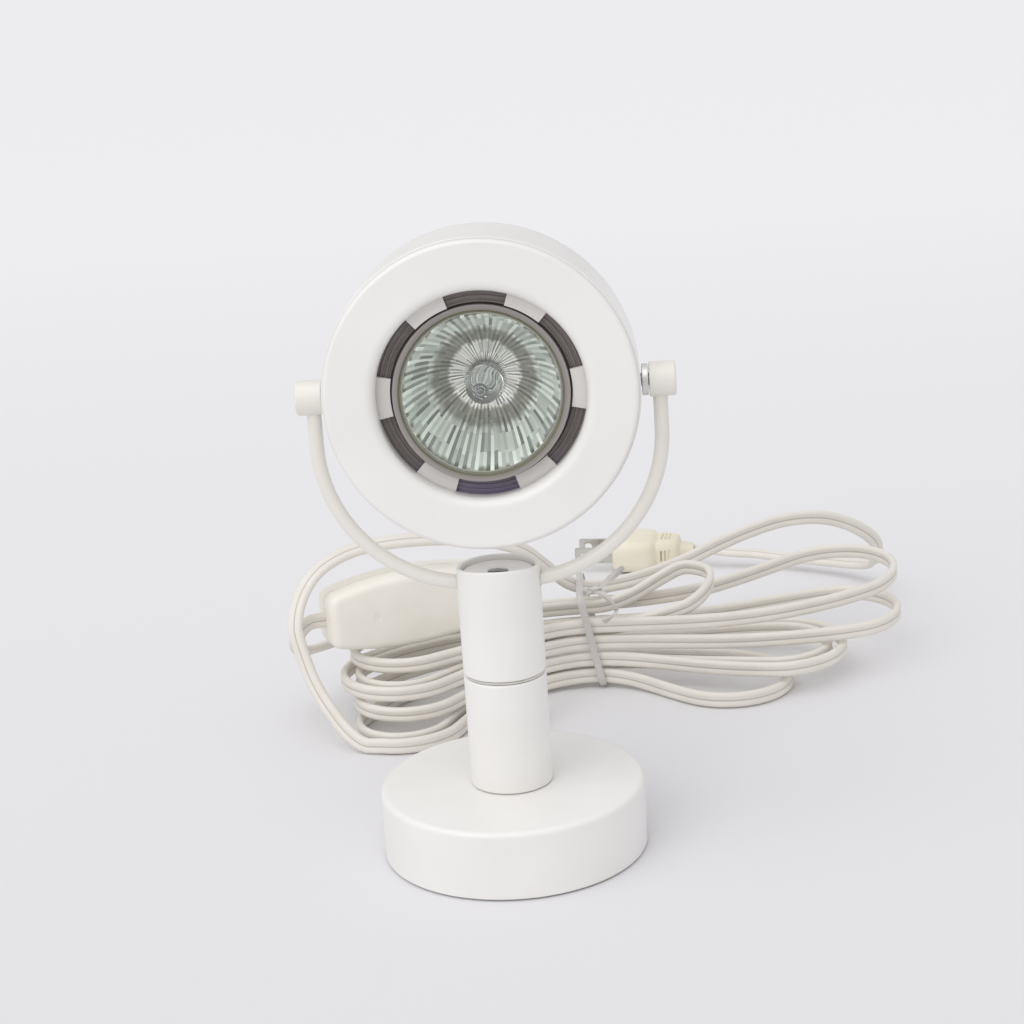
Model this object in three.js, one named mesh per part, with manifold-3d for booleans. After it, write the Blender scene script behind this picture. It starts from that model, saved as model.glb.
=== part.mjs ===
// Small spot lamp: round base, two-part stem that swivels, a bent yoke and a drum head that tilts.
// Millimetres. The origin is the middle of the base on the floor, +Z is up and the lamp faces -Y.
import * as THREE from "three";
import { mergeVertices } from "three/addons/utils/BufferGeometryUtils.js";
import Module from "manifold-3d";

const wasm = await Module();
wasm.setup();

// Driving sizes of the whole lamp
const BASE_RADIUS = 39.5;
const BASE_HEIGHT = 21;
const STEM_RADIUS = 12.25;
const SWIVEL_HEIGHT = 55.1;
const UPPER_STEM = 32.9;
const HEAD_CLEARANCE = 8;
const HEAD_RADIUS = 45;
const HEAD_FRONT = 11.5;
const HEAD_STRAIGHT = 13;
const HEAD_DOME = 37.5;
const HEAD_SHIFT = 0.9;
const YOKE_CLEARANCE = 4.5;
const YOKE_ROD_RADIUS = 2.1;
const KNOB_RADIUS = 5;
const KNOB_LENGTH = 7.6;
const KNOB_SETBACK = 3;
const BULB_RADIUS = 25.2;

const stemTop = SWIVEL_HEIGHT + UPPER_STEM;
const pivotHeight = stemTop + HEAD_CLEARANCE + HEAD_RADIUS;
const yokeHalfWidth = HEAD_RADIUS + YOKE_CLEARANCE;
const knobInner = yokeHalfWidth - KNOB_SETBACK;

// Clearances that parts share
const SEAT = 0.3;
const RUNNING = 0.35;
const SLIP = 0.3;
const OVERRUN = 1;

// How round the turned pieces are
const FINE_SIDES = 36;
const PLAIN_SIDES = 24;
const SMALL_SIDES = 16;
const TINY_SIDES = 10;

const white = finish(0xe9e8e4, 0.38, 0);
const ivory = finish(0xdcd9d2, 0.42, 0);
const steel = finish(0x9a9da0, 0.35, 0.9);
const zinc = finish(0xb9bcbe, 0.4, 0.8);
const felt = finish(0x3c3b3a, 0.95, 0);
const rubber = finish(0xd8d2c6, 0.6, 0);
const moulded = finish(0xe3e0d2, 0.45, 0);
const plugPlastic = finish(0xede6cc, 0.5, 0);
const brass = finish(0xc2a35a, 0.3, 0.9);
const ceramic = finish(0xe6e1d6, 0.7, 0);
const glass = finish(0xcfe0d8, 0.08, 0);
const clearGlass = finish(0xdfe6e6, 0.05, 0);
const tiePlastic = finish(0xc8c6c4, 0.55, 0);

const lamp = new THREE.Group();

function finish(color, roughness, metalness) {
  return new THREE.MeshStandardMaterial({ color, roughness, metalness });
}

// Keeps a geometry's positions alone, merges its corners and points its faces outwards.
function closed(geometry) {
  const bare = new THREE.BufferGeometry();
  bare.setAttribute("position", geometry.getAttribute("position").clone());
  if (geometry.index) bare.setIndex(geometry.index.clone());
  const merged = mergeVertices(bare, 1e-4);
  const place = merged.getAttribute("position");
  const corner = (i) => new THREE.Vector3().fromBufferAttribute(place, i);
  const kept = [];
  let volume = 0;
  for (let i = 0; i < merged.index.count; i += 3) {
    const [a, b, c] = [0, 1, 2].map((k) => merged.index.getX(i + k));
    if (a === b || b === c || c === a) continue;
    kept.push(a, b, c);
    volume += corner(a).dot(corner(b).cross(corner(c)));
  }
  if (volume < 0) {
    for (let i = 0; i < kept.length; i += 3) [kept[i], kept[i + 1]] = [kept[i + 1], kept[i]];
  }
  merged.setIndex(kept);
  return merged;
}

function toSolid(geometry) {
  const shape = closed(geometry);
  return new wasm.Manifold(new wasm.Mesh({
    numProp: 3,
    vertProperties: new Float32Array(shape.getAttribute("position").array),
    triVerts: new Uint32Array(shape.index.array),
  }));
}

function toGeometry(solid) {
  const mesh = solid.getMesh();
  const geometry = new THREE.BufferGeometry();
  geometry.setAttribute("position", new THREE.BufferAttribute(mesh.vertProperties, 3));
  geometry.setIndex(new THREE.BufferAttribute(mesh.triVerts, 1));
  return geometry;
}

function cut(geometry, ...tools) {
  let solid = toSolid(geometry);
  for (const tool of tools) solid = solid.subtract(toSolid(tool));
  return toGeometry(solid);
}

function join(geometry, ...others) {
  let solid = toSolid(geometry);
  for (const other of others) solid = solid.add(toSolid(other));
  return toGeometry(solid);
}

// Adds one named piece to the lamp.
function piece(name, geometry, material, parent = lamp) {
  const mesh = new THREE.Mesh(closed(geometry), material);
  mesh.name = name;
  parent.add(mesh);
  return mesh;
}

// Turns a closed profile of [radius, height] points about the Z axis.
function turned(profile, sides) {
  const points = [...profile, profile[0]].map(([r, z]) => new THREE.Vector2(r, z));
  return new THREE.LatheGeometry(points, sides).rotateX(Math.PI / 2);
}

// A ring or disc from one height to another; the hole is left out where its radius is zero.
function ring(hole, radius, low, high, sides) {
  return turned([[hole, low], [radius, low], [radius, high], [hole, high]], sides);
}

// Points of an arc in a profile, from one angle to another in degrees.
function arc(r, z, radius, from, to, steps) {
  const points = [];
  for (let i = 0; i <= steps; i++) {
    const angle = THREE.MathUtils.degToRad(from + ((to - from) * i) / steps);
    points.push([r + radius * Math.cos(angle), z + radius * Math.sin(angle)]);
  }
  return points;
}

const towardX = (geometry) => geometry.rotateY(Math.PI / 2);
const towardBack = (geometry) => geometry.rotateX(-Math.PI / 2);

function box(width, depth, height, x, y, z) {
  return new THREE.BoxGeometry(width, depth, height).translate(x, y, z);
}

// A six-sided nut of the given width across its flats.
function nut(acrossFlats, hole, low, high) {
  const outside = ring(0, acrossFlats / Math.sqrt(3), low, high, 6);
  return cut(outside, ring(0, hole, low - OVERRUN, high + OVERRUN, SMALL_SIDES));
}

// Base: a cup-shaped cover over a steel weight, closed below by a plate and a felt pad
const PAD_THICKNESS = 1.2;
const PAD_INSET = 2.5;
const PLATE_THICKNESS = 1.2;
const COVER_WALL = 1.4;
const COVER_LIFT = 0.6;
const COVER_EDGE = 1.5;
const WEIGHT_INSET = 3;
const WEIGHT_THICKNESS = 8.7;
const ROD_RADIUS = 4.9;
const ROD_BORE = 3.2;
const ROD_END_GAP = 3.3;
const ROD_NUT_FLATS = 14;
const ROD_NUT_THICKNESS = 2.9;
const ROD_WASHER_RADIUS = 9;
const ROD_WASHER_THICKNESS = 0.9;

const padTop = PAD_THICKNESS;
const plateBottom = padTop + SEAT;
const plateTop = plateBottom + PLATE_THICKNESS;
const coverInner = BASE_RADIUS - COVER_WALL;
const coverCeiling = BASE_HEIGHT - COVER_WALL;
const weightTop = coverCeiling - SEAT;
const weightBottom = weightTop - WEIGHT_THICKNESS;
const rodHole = ROD_RADIUS + SLIP;
const washerTop = weightBottom - SEAT;
const washerBottom = washerTop - ROD_WASHER_THICKNESS;
const nutTop = washerBottom - SEAT;
const rodBottom = plateTop + ROD_END_GAP;

// The strain relief leaves the back of the base
const GLAND_HEIGHT = 7.2;
const GLAND_NECK = 3.6;
const GLAND_SEAT = 0.6;
const GLAND_FLANGE = 4.2;
const GLAND_FLANGE_THICKNESS = 0.7;
const GLAND_COLLAR = 4.4;
const GLAND_COLLAR_LENGTH = 2.2;
const GLAND_TAIL = 21;
const GLAND_TAIL_RADIUS = 3.1;

// The grip that holds the cord inside the base
const CLAMP_BACK = 24;
const CLAMP_WIDTH = 18;
const CLAMP_DEPTH = 6;
const CLAMP_THICKNESS = 1.8;
const CLAMP_LIFT = 4.2;
const CLAMP_SCREW_SPREAD = 6;
const CLAMP_SCREW_RADIUS = 1.1;
const CLAMP_SCREW_HEAD = 2.2;
const CLAMP_SCREW_HEAD_HEIGHT = 0.9;

function makeBase() {
  const padRadius = BASE_RADIUS - PAD_INSET;
  piece("base_pad", ring(0, padRadius, 0, padTop, PLAIN_SIDES), felt);
  piece("base_plate", ring(0, coverInner - SLIP, plateBottom, plateTop, FINE_SIDES), zinc);

  const cover = turned([
    [rodHole, BASE_HEIGHT],
    [rodHole, coverCeiling],
    [coverInner, coverCeiling],
    [coverInner, COVER_LIFT],
    [BASE_RADIUS, COVER_LIFT],
    ...arc(BASE_RADIUS - COVER_EDGE, BASE_HEIGHT - COVER_EDGE, COVER_EDGE, 0, 90, 4),
  ], FINE_SIDES);
  const glandHole = towardBack(ring(0, GLAND_NECK + SLIP, 0, COVER_WALL + 2 * OVERRUN, SMALL_SIDES));
  glandHole.translate(0, coverInner - OVERRUN, GLAND_HEIGHT);
  piece("base_cover", cut(cover, glandHole), white);

  piece("base_weight", ring(rodHole, BASE_RADIUS - WEIGHT_INSET, weightBottom, weightTop, PLAIN_SIDES), steel);
  piece("rod_washer", ring(rodHole, ROD_WASHER_RADIUS, washerBottom, washerTop, SMALL_SIDES), zinc);
  piece("rod_nut", nut(ROD_NUT_FLATS, rodHole, nutTop - ROD_NUT_THICKNESS, nutTop), zinc);
}

function makeGland() {
  const inside = coverInner - GLAND_SEAT - GLAND_FLANGE_THICKNESS;
  const outside = BASE_RADIUS + SEAT;
  const gland = turned([
    [0, inside],
    [GLAND_FLANGE, inside],
    [GLAND_FLANGE, coverInner - GLAND_SEAT],
    [GLAND_NECK, coverInner - GLAND_SEAT],
    [GLAND_NECK, outside],
    [GLAND_COLLAR, outside],
    [GLAND_COLLAR, outside + GLAND_COLLAR_LENGTH],
    [GLAND_TAIL_RADIUS, outside + GLAND_COLLAR_LENGTH + GLAND_TAIL],
    [0, outside + GLAND_COLLAR_LENGTH + GLAND_TAIL],
  ], SMALL_SIDES);
  piece("cord_gland", towardBack(gland).translate(0, 0, GLAND_HEIGHT), rubber);

  const gripBottom = plateTop + CLAMP_LIFT;
  const gripTop = gripBottom + CLAMP_THICKNESS;
  const places = [["left", -CLAMP_SCREW_SPREAD], ["right", CLAMP_SCREW_SPREAD]];
  let grip = box(CLAMP_WIDTH, CLAMP_DEPTH, CLAMP_THICKNESS, 0, CLAMP_BACK, (gripBottom + gripTop) / 2);
  for (const [side, x] of places) {
    const hole = ring(0, CLAMP_SCREW_RADIUS + SLIP, gripBottom - OVERRUN, gripTop + OVERRUN, TINY_SIDES);
    grip = cut(grip, hole.translate(x, CLAMP_BACK, 0));
    const headBottom = gripTop + SEAT;
    const screw = turned([
      [0, plateTop + SEAT],
      [CLAMP_SCREW_RADIUS, plateTop + SEAT],
      [CLAMP_SCREW_RADIUS, headBottom],
      [CLAMP_SCREW_HEAD, headBottom],
      [CLAMP_SCREW_HEAD, headBottom + CLAMP_SCREW_HEAD_HEIGHT],
      [0, headBottom + CLAMP_SCREW_HEAD_HEIGHT],
    ], TINY_SIDES);
    piece(`clamp_screw_${side}`, screw.translate(x, CLAMP_BACK, 0), zinc);
  }
  piece("cord_clamp", grip, moulded);
}

// Stem: the lower tube stands on the base, the upper tube turns on it
const STEM_WALL = 1.35;
const STEM_END = 2.2;
const STEM_EDGE = 0.6;
const STEM_RIM_EDGE = 0.4;
const SWIVEL_GAP = 1;
const SWIVEL_WASHER_THICKNESS = 0.4;
const SWIVEL_WASHER_INSET = 1.1;
const SPRING_RADIUS = 8.4;
const SPRING_THICKNESS = 1;
const SWIVEL_NUT_THICKNESS = 3.4;
const ROD_PROUD = 1.6;

const stemInner = STEM_RADIUS - STEM_WALL;
const upperBottom = SWIVEL_HEIGHT + SWIVEL_GAP;
const upperFloor = upperBottom + STEM_END;
const springTop = upperFloor + SEAT + SPRING_THICKNESS;
const swivelNutBottom = springTop + SEAT;
const swivelNutTop = swivelNutBottom + SWIVEL_NUT_THICKNESS;
const rodTop = swivelNutTop + ROD_PROUD;

// Yoke: a tube bent to straight legs, rounder sides and a flatter bow
const YOKE_SIDE_RADIUS = 43;
const YOKE_BOW_RADIUS = 70;
const YOKE_DROP = 5.4;
const YOKE_BORE = 1.3;
const YOKE_SINK = 2.2;
const YOKE_SIDES = 10;
const YOKE_STEPS = 34;

const CLAMP_INSERT_HEIGHT = 16.6;
const CLAMP_INSERT_DEPTH = 1.4;
const INSERT_BORE_EXTRA = 0.45;
const INSERT_WIRE_HOLE = 2;
const YOKE_SCREW_RADIUS = 2.8;
const YOKE_SCREW_SUNK = 0.4;
const YOKE_SCREW_SLOT = 0.7;
const YOKE_SCREW_SLOT_DEPTH = 0.45;

const bowHeight = stemTop - YOKE_DROP;
const bowCentre = bowHeight + YOKE_BOW_RADIUS;
const sideCentreX = yokeHalfWidth - YOKE_SIDE_RADIUS;
const sideCentreZ = bowCentre - Math.sqrt((YOKE_BOW_RADIUS - YOKE_SIDE_RADIUS) ** 2 - sideCentreX ** 2);
const bowHalfAngle = Math.asin(sideCentreX / (YOKE_BOW_RADIUS - YOKE_SIDE_RADIUS));
const legTop = pivotHeight - KNOB_RADIUS + YOKE_SINK;

// The yoke's middle line, as one curve of a leg, a side arc, the bow and the same mirrored.
class YokeLine extends THREE.Curve {
  constructor() {
    super();
    this.leg = legTop - sideCentreZ;
    this.side = YOKE_SIDE_RADIUS * (Math.PI / 2 - bowHalfAngle);
    this.bow = YOKE_BOW_RADIUS * bowHalfAngle;
    this.half = this.leg + this.side + this.bow;
  }

  getPoint(t, target = new THREE.Vector3()) {
    const along = Math.abs(t * 2 - 1) * this.half;
    const sign = t < 0.5 ? -1 : 1;
    if (along <= this.bow) {
      const angle = along / YOKE_BOW_RADIUS;
      const x = YOKE_BOW_RADIUS * Math.sin(angle);
      return target.set(sign * x, 0, bowCentre - YOKE_BOW_RADIUS * Math.cos(angle));
    }
    if (along <= this.bow + this.side) {
      const angle = bowHalfAngle + (along - this.bow) / YOKE_SIDE_RADIUS;
      const x = sideCentreX + YOKE_SIDE_RADIUS * Math.sin(angle);
      return target.set(sign * x, 0, sideCentreZ - YOKE_SIDE_RADIUS * Math.cos(angle));
    }
    return target.set(sign * yokeHalfWidth, 0, sideCentreZ + along - this.bow - this.side);
  }
}

const yokeLine = new YokeLine();
const yokeAtStem = bowCentre - Math.sqrt(YOKE_BOW_RADIUS ** 2 - STEM_RADIUS ** 2);

function makeStem() {
  const lowerBottom = BASE_HEIGHT + SEAT;
  const lower = turned([
    [rodHole, lowerBottom],
    [STEM_RADIUS, lowerBottom],
    ...arc(STEM_RADIUS - STEM_EDGE, SWIVEL_HEIGHT - STEM_EDGE, STEM_EDGE, 0, 90, 3),
    [rodHole, SWIVEL_HEIGHT],
    [rodHole, SWIVEL_HEIGHT - STEM_END],
    [stemInner, SWIVEL_HEIGHT - STEM_END],
    [stemInner, lowerBottom + STEM_END],
    [rodHole, lowerBottom + STEM_END],
  ], FINE_SIDES);
  piece("stem_lower", lower, white);
  piece("stem_rod", ring(ROD_BORE, ROD_RADIUS, rodBottom, rodTop, SMALL_SIDES), zinc);

  const washerLow = SWIVEL_HEIGHT + (SWIVEL_GAP - SWIVEL_WASHER_THICKNESS) / 2;
  const washerOut = STEM_RADIUS - SWIVEL_WASHER_INSET;
  const washer = ring(rodHole, washerOut, washerLow, washerLow + SWIVEL_WASHER_THICKNESS, PLAIN_SIDES);
  piece("swivel_washer", washer, steel);

  const upper = turned([
    [rodHole, upperBottom],
    ...arc(STEM_RADIUS - STEM_EDGE, upperBottom + STEM_EDGE, STEM_EDGE, -90, 0, 3),
    ...arc(STEM_RADIUS - STEM_RIM_EDGE, stemTop - STEM_RIM_EDGE, STEM_RIM_EDGE, 0, 90, 2),
    [stemInner, stemTop],
    [stemInner, upperFloor],
    [rodHole, upperFloor],
  ], FINE_SIDES);
  const crossLength = 2 * (STEM_RADIUS + OVERRUN);
  const crossHole = towardX(ring(0, YOKE_ROD_RADIUS + INSERT_BORE_EXTRA, 0, crossLength, SMALL_SIDES));
  piece("stem_upper", cut(upper, crossHole.translate(-crossLength / 2, 0, yokeAtStem)), white);

  piece("swivel_spring", ring(rodHole, SPRING_RADIUS, upperFloor + SEAT, springTop, SMALL_SIDES), steel);
  piece("swivel_nut", nut(ROD_NUT_FLATS, rodHole, swivelNutBottom, swivelNutTop), zinc);
}

function makeYoke() {
  const section = new THREE.Shape().absarc(0, 0, YOKE_ROD_RADIUS, 0, 2 * Math.PI);
  section.holes.push(new THREE.Path().absarc(0, 0, YOKE_BORE, 0, 2 * Math.PI, true));
  const tube = new THREE.ExtrudeGeometry(section, {
    steps: YOKE_STEPS,
    extrudePath: yokeLine,
    curveSegments: YOKE_SIDES / 2,
    bevelEnabled: false,
  });
  piece("yoke", tube, ivory);

  const insertTop = stemTop - CLAMP_INSERT_DEPTH;
  const insertBottom = insertTop - CLAMP_INSERT_HEIGHT;
  const insertRadius = stemInner - SLIP;
  const boreHeight = (bowHeight + yokeAtStem) / 2;
  const boreRadius = YOKE_ROD_RADIUS + INSERT_BORE_EXTRA + (yokeAtStem - bowHeight) / 2;
  const crossLength = 2 * (insertRadius + OVERRUN);
  const crossBore = towardX(ring(0, boreRadius, 0, crossLength, SMALL_SIDES));
  crossBore.translate(-crossLength / 2, 0, boreHeight);
  const screwHole = ring(0, YOKE_SCREW_RADIUS + SLIP, boreHeight, insertTop + OVERRUN, SMALL_SIDES);
  const wireHole = ring(0, INSERT_WIRE_HOLE, insertBottom - OVERRUN, boreHeight, TINY_SIDES);
  const insert = ring(0, insertRadius, insertBottom, insertTop, PLAIN_SIDES);
  piece("yoke_clamp", cut(insert, crossBore, screwHole, wireHole), white);

  const screwBottom = bowHeight + YOKE_ROD_RADIUS + SEAT;
  const screwTop = insertTop - YOKE_SCREW_SUNK;
  const screw = ring(0, YOKE_SCREW_RADIUS, screwBottom, screwTop, SMALL_SIDES);
  const slotHeight = 2 * YOKE_SCREW_SLOT_DEPTH;
  const slot = box(2 * YOKE_SCREW_RADIUS + OVERRUN, YOKE_SCREW_SLOT, slotHeight, 0, 0, screwTop);
  piece("yoke_screw", cut(screw, slot), steel);
}

// Pivots: each knob takes a leg of the yoke from below and a pin from the head's side
const KNOB_EDGE = 0.5;
const PIN_RADIUS = 1.8;
const PIN_SINK = 5;
const PIN_REACH = 5.6;
const PIVOT_NUT_FLATS = 6.6;
const PIVOT_NUT_THICKNESS = 2.4;
const SPACER_RADIUS = 4.5;

function makePivots() {
  for (const [side, sign] of [["left", -1], ["right", 1]]) {
    const end = knobInner + KNOB_LENGTH;
    const knob = towardX(turned([
      [0, knobInner],
      ...arc(KNOB_RADIUS - KNOB_EDGE, knobInner + KNOB_EDGE, KNOB_EDGE, -90, 0, 2),
      ...arc(KNOB_RADIUS - KNOB_EDGE, end - KNOB_EDGE, KNOB_EDGE, 0, 90, 2),
      [0, end],
    ], PLAIN_SIDES)).translate(0, 0, pivotHeight);
    const legHole = ring(0, YOKE_ROD_RADIUS + SLIP, 0, legTop + SEAT, SMALL_SIDES);
    legHole.translate(yokeHalfWidth, 0, 0);
    const pinHole = towardX(ring(0, PIN_RADIUS + SLIP, 0, knobInner + PIN_SINK + SEAT, SMALL_SIDES));
    pinHole.translate(0, 0, pivotHeight);
    const bored = cut(knob, legHole, pinHole);
    piece(`knob_${side}`, sign < 0 ? bored.rotateZ(Math.PI) : bored, ivory);

    const wallInside = HEAD_RADIUS - SHELL_WALL + sign * -HEAD_SHIFT;
    const nutEnd = wallInside - RUNNING;
    const pinStart = nutEnd - PIN_REACH;
    const pin = towardX(ring(0, PIN_RADIUS, pinStart, knobInner + PIN_SINK, SMALL_SIDES));
    pin.translate(0, 0, pivotHeight);
    piece(`pivot_pin_${side}`, sign < 0 ? pin.rotateZ(Math.PI) : pin, steel);
    const lock = nut(PIVOT_NUT_FLATS, PIN_RADIUS + SLIP, nutEnd - PIVOT_NUT_THICKNESS, nutEnd);
    const placed = towardX(lock).translate(0, 0, pivotHeight);
    piece(`pivot_nut_${side}`, sign < 0 ? placed.rotateZ(Math.PI) : placed, zinc);
  }
  const spacerStart = HEAD_RADIUS - HEAD_SHIFT + RUNNING;
  const spacer = ring(PIN_RADIUS + SLIP, SPACER_RADIUS, spacerStart, knobInner - SEAT, SMALL_SIDES);
  piece("spacer_right", towardX(spacer).translate(0, 0, pivotHeight), zinc);
}

// Head: a drum with a domed back, closed in front by a cover with a rolled-in lip.
// Profiles here run along the depth, from the pivot towards the back.
const SHELL_WALL = 1.3;
const DOME_FLAT = 1;
const DOME_STEPS = 6;
const SHELL_START = 9.6;
const VENT_COUNT = 10;
const VENT_WIDTH = 3;
const VENT_LENGTH = 9;
const VENT_CIRCLE = 26;
const PIVOT_HOLE = 2.2;
const FRONT_EDGE = 1.2;
const FRONT_WALL = 1.3;
const FRONT_STEP = 0.6;
const FRONT_SKIRT = 6;
const LIP_ROLL = 3;
const LIP_DEPTH = 5.5;
const MOUTH_RADIUS = 29.8;

// The dome's radius at a depth, for the outside or for the inside of the wall.
function domePoint(share, inset) {
  const angle = share * Math.asin((HEAD_DOME - DOME_FLAT) / HEAD_DOME);
  return [(HEAD_RADIUS - inset) * Math.cos(angle), HEAD_STRAIGHT + (HEAD_DOME - inset) * Math.sin(angle)];
}

function makeHeadShell(head) {
  const outside = [];
  const inside = [];
  for (let i = 0; i <= DOME_STEPS; i++) {
    outside.push(domePoint(i / DOME_STEPS, 0));
    inside.push(domePoint(1 - i / DOME_STEPS, SHELL_WALL));
  }
  const backOut = outside[DOME_STEPS][1];
  const backIn = inside[0][1];
  const shell = towardBack(turned([
    [HEAD_RADIUS - SHELL_WALL, -SHELL_START],
    [HEAD_RADIUS, -SHELL_START],
    ...outside,
    [0, backOut],
    [0, backIn],
    ...inside,
  ], FINE_SIDES));
  const tools = [];
  for (let i = 0; i < VENT_COUNT; i++) {
    const half = (VENT_LENGTH - VENT_WIDTH) / 2;
    const outline = new THREE.Shape()
      .absarc(VENT_CIRCLE + half, 0, VENT_WIDTH / 2, -Math.PI / 2, Math.PI / 2)
      .absarc(VENT_CIRCLE - half, 0, VENT_WIDTH / 2, Math.PI / 2, (3 * Math.PI) / 2);
    const slot = new THREE.ExtrudeGeometry(outline, {
      depth: HEAD_DOME,
      curveSegments: 3,
      bevelEnabled: false,
    });
    slot.rotateZ(((i + 0.5) * 2 * Math.PI) / VENT_COUNT);
    tools.push(towardBack(slot).translate(0, HEAD_STRAIGHT + OVERRUN, 0));
  }
  const axle = towardX(ring(0, PIVOT_HOLE, 0, 2 * (HEAD_RADIUS + OVERRUN), SMALL_SIDES));
  tools.push(axle.translate(-HEAD_RADIUS - OVERRUN, 0, 0));
  piece("head_shell", cut(shell, ...tools), white, head);
  return { backIn };
}

function makeHeadFront(head) {
  const outer = HEAD_RADIUS - FRONT_STEP;
  const skirt = HEAD_RADIUS - SHELL_WALL - SLIP;
  const face = -HEAD_FRONT;
  const rollStart = MOUTH_RADIUS + LIP_ROLL;
  const front = turned([
    ...arc(rollStart, face + LIP_ROLL, LIP_ROLL, 180, 270, 5),
    ...arc(outer - FRONT_EDGE, face + FRONT_EDGE, FRONT_EDGE, -90, 0, 4),
    [outer, -SHELL_START - SEAT],
    [skirt, -SHELL_START - SEAT],
    [skirt, face + FRONT_WALL + FRONT_SKIRT],
    [skirt - FRONT_WALL, face + FRONT_WALL + FRONT_SKIRT],
    [skirt - FRONT_WALL, face + FRONT_WALL],
    ...arc(rollStart, face + LIP_ROLL, LIP_ROLL - FRONT_WALL, 270, 180, 4),
    [MOUTH_RADIUS + FRONT_WALL, face + LIP_DEPTH],
    [MOUTH_RADIUS, face + LIP_DEPTH],
  ], FINE_SIDES);
  piece("head_front", towardBack(front), white, head);
}

// The ring that holds the bulb's rim, with six tabs reaching in past the lip
const RETAINER_OUTER = 31.5;
const RETAINER_INNER = 28.9;
const RETAINER_THICKNESS = 1.1;
const TAB_COUNT = 6;
const TAB_SHARE = 0.4;
const TAB_GAP = 0.6;

function makeRetainer(head) {
  const front = -HEAD_FRONT + LIP_DEPTH + SEAT;
  const tabInner = BULB_RADIUS + TAB_GAP;
  const outline = new THREE.Shape().absarc(0, 0, RETAINER_OUTER, 0, 2 * Math.PI);
  const hole = new THREE.Path();
  const steps = 5;
  const pitch = (2 * Math.PI) / TAB_COUNT;
  for (let i = 0; i < TAB_COUNT; i++) {
    for (const [radius, middle, share] of [[tabInner, 0, TAB_SHARE], [RETAINER_INNER, 0.5, 1 - TAB_SHARE]]) {
      for (let k = 0; k <= steps; k++) {
        const angle = pitch * (i + middle + share * (k / steps - 0.5));
        const x = radius * Math.cos(angle);
        const y = radius * Math.sin(angle);
        if (i === 0 && middle === 0 && k === 0) hole.moveTo(x, y);
        else hole.lineTo(x, y);
      }
    }
  }
  hole.closePath();
  outline.holes.push(hole);
  const plate = new THREE.ExtrudeGeometry(outline, {
    depth: RETAINER_THICKNESS,
    curveSegments: PLAIN_SIDES,
    bevelEnabled: false,
  });
  piece("retainer_ring", towardBack(plate).translate(0, front, 0), white, head);
}

// Halogen reflector bulb: flanged glass reflector, front glass, capsule, ceramic base and two pins
const BULB_SETBACK = 4.6;
const FLANGE_LENGTH = 1.8;
const FLANGE_STEP = 0.9;
const GLASS_RADIUS = 23.1;
const GLASS_THICKNESS = 1.1;
const REFLECTOR_LENGTH = 26;
const REFLECTOR_WALL = 1.3;
const REFLECTOR_NECK = 9.5;
const NECK_LENGTH = 4.6;
const CAPSULE_RADIUS = 5.2;
const CAPSULE_NECK = 3;
const CAPSULE_DOME = 60;
const CAPSULE_REACH = 20;
const CAPSULE_STUB = 5;
const CERAMIC_RADIUS = 11;
const CERAMIC_END = 9.6;
const CERAMIC_LENGTH = 11.4;
const PIN_SPREAD = 5;
const BULB_PIN_RADIUS = 1.2;
const BULB_PIN_HEAD = 2.3;
const BULB_PIN_LENGTH = 5.6;
const BULB_PIN_HEAD_LENGTH = 1.8;

const bulbFront = -HEAD_FRONT + BULB_SETBACK;
const reflectorEnd = bulbFront + REFLECTOR_LENGTH + NECK_LENGTH;
const ceramicStart = reflectorEnd + SEAT;
const ceramicBack = ceramicStart + CERAMIC_LENGTH;

// A reflector's bowl widens as the root of its depth.
function bowl(count, front, back, wide, narrow) {
  const points = [];
  for (let i = 0; i <= count; i++) {
    const share = i / count;
    const radius = narrow + (wide - narrow) * Math.sqrt(1 - share);
    points.push([radius, front + (back - front) * share]);
  }
  return points;
}

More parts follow.
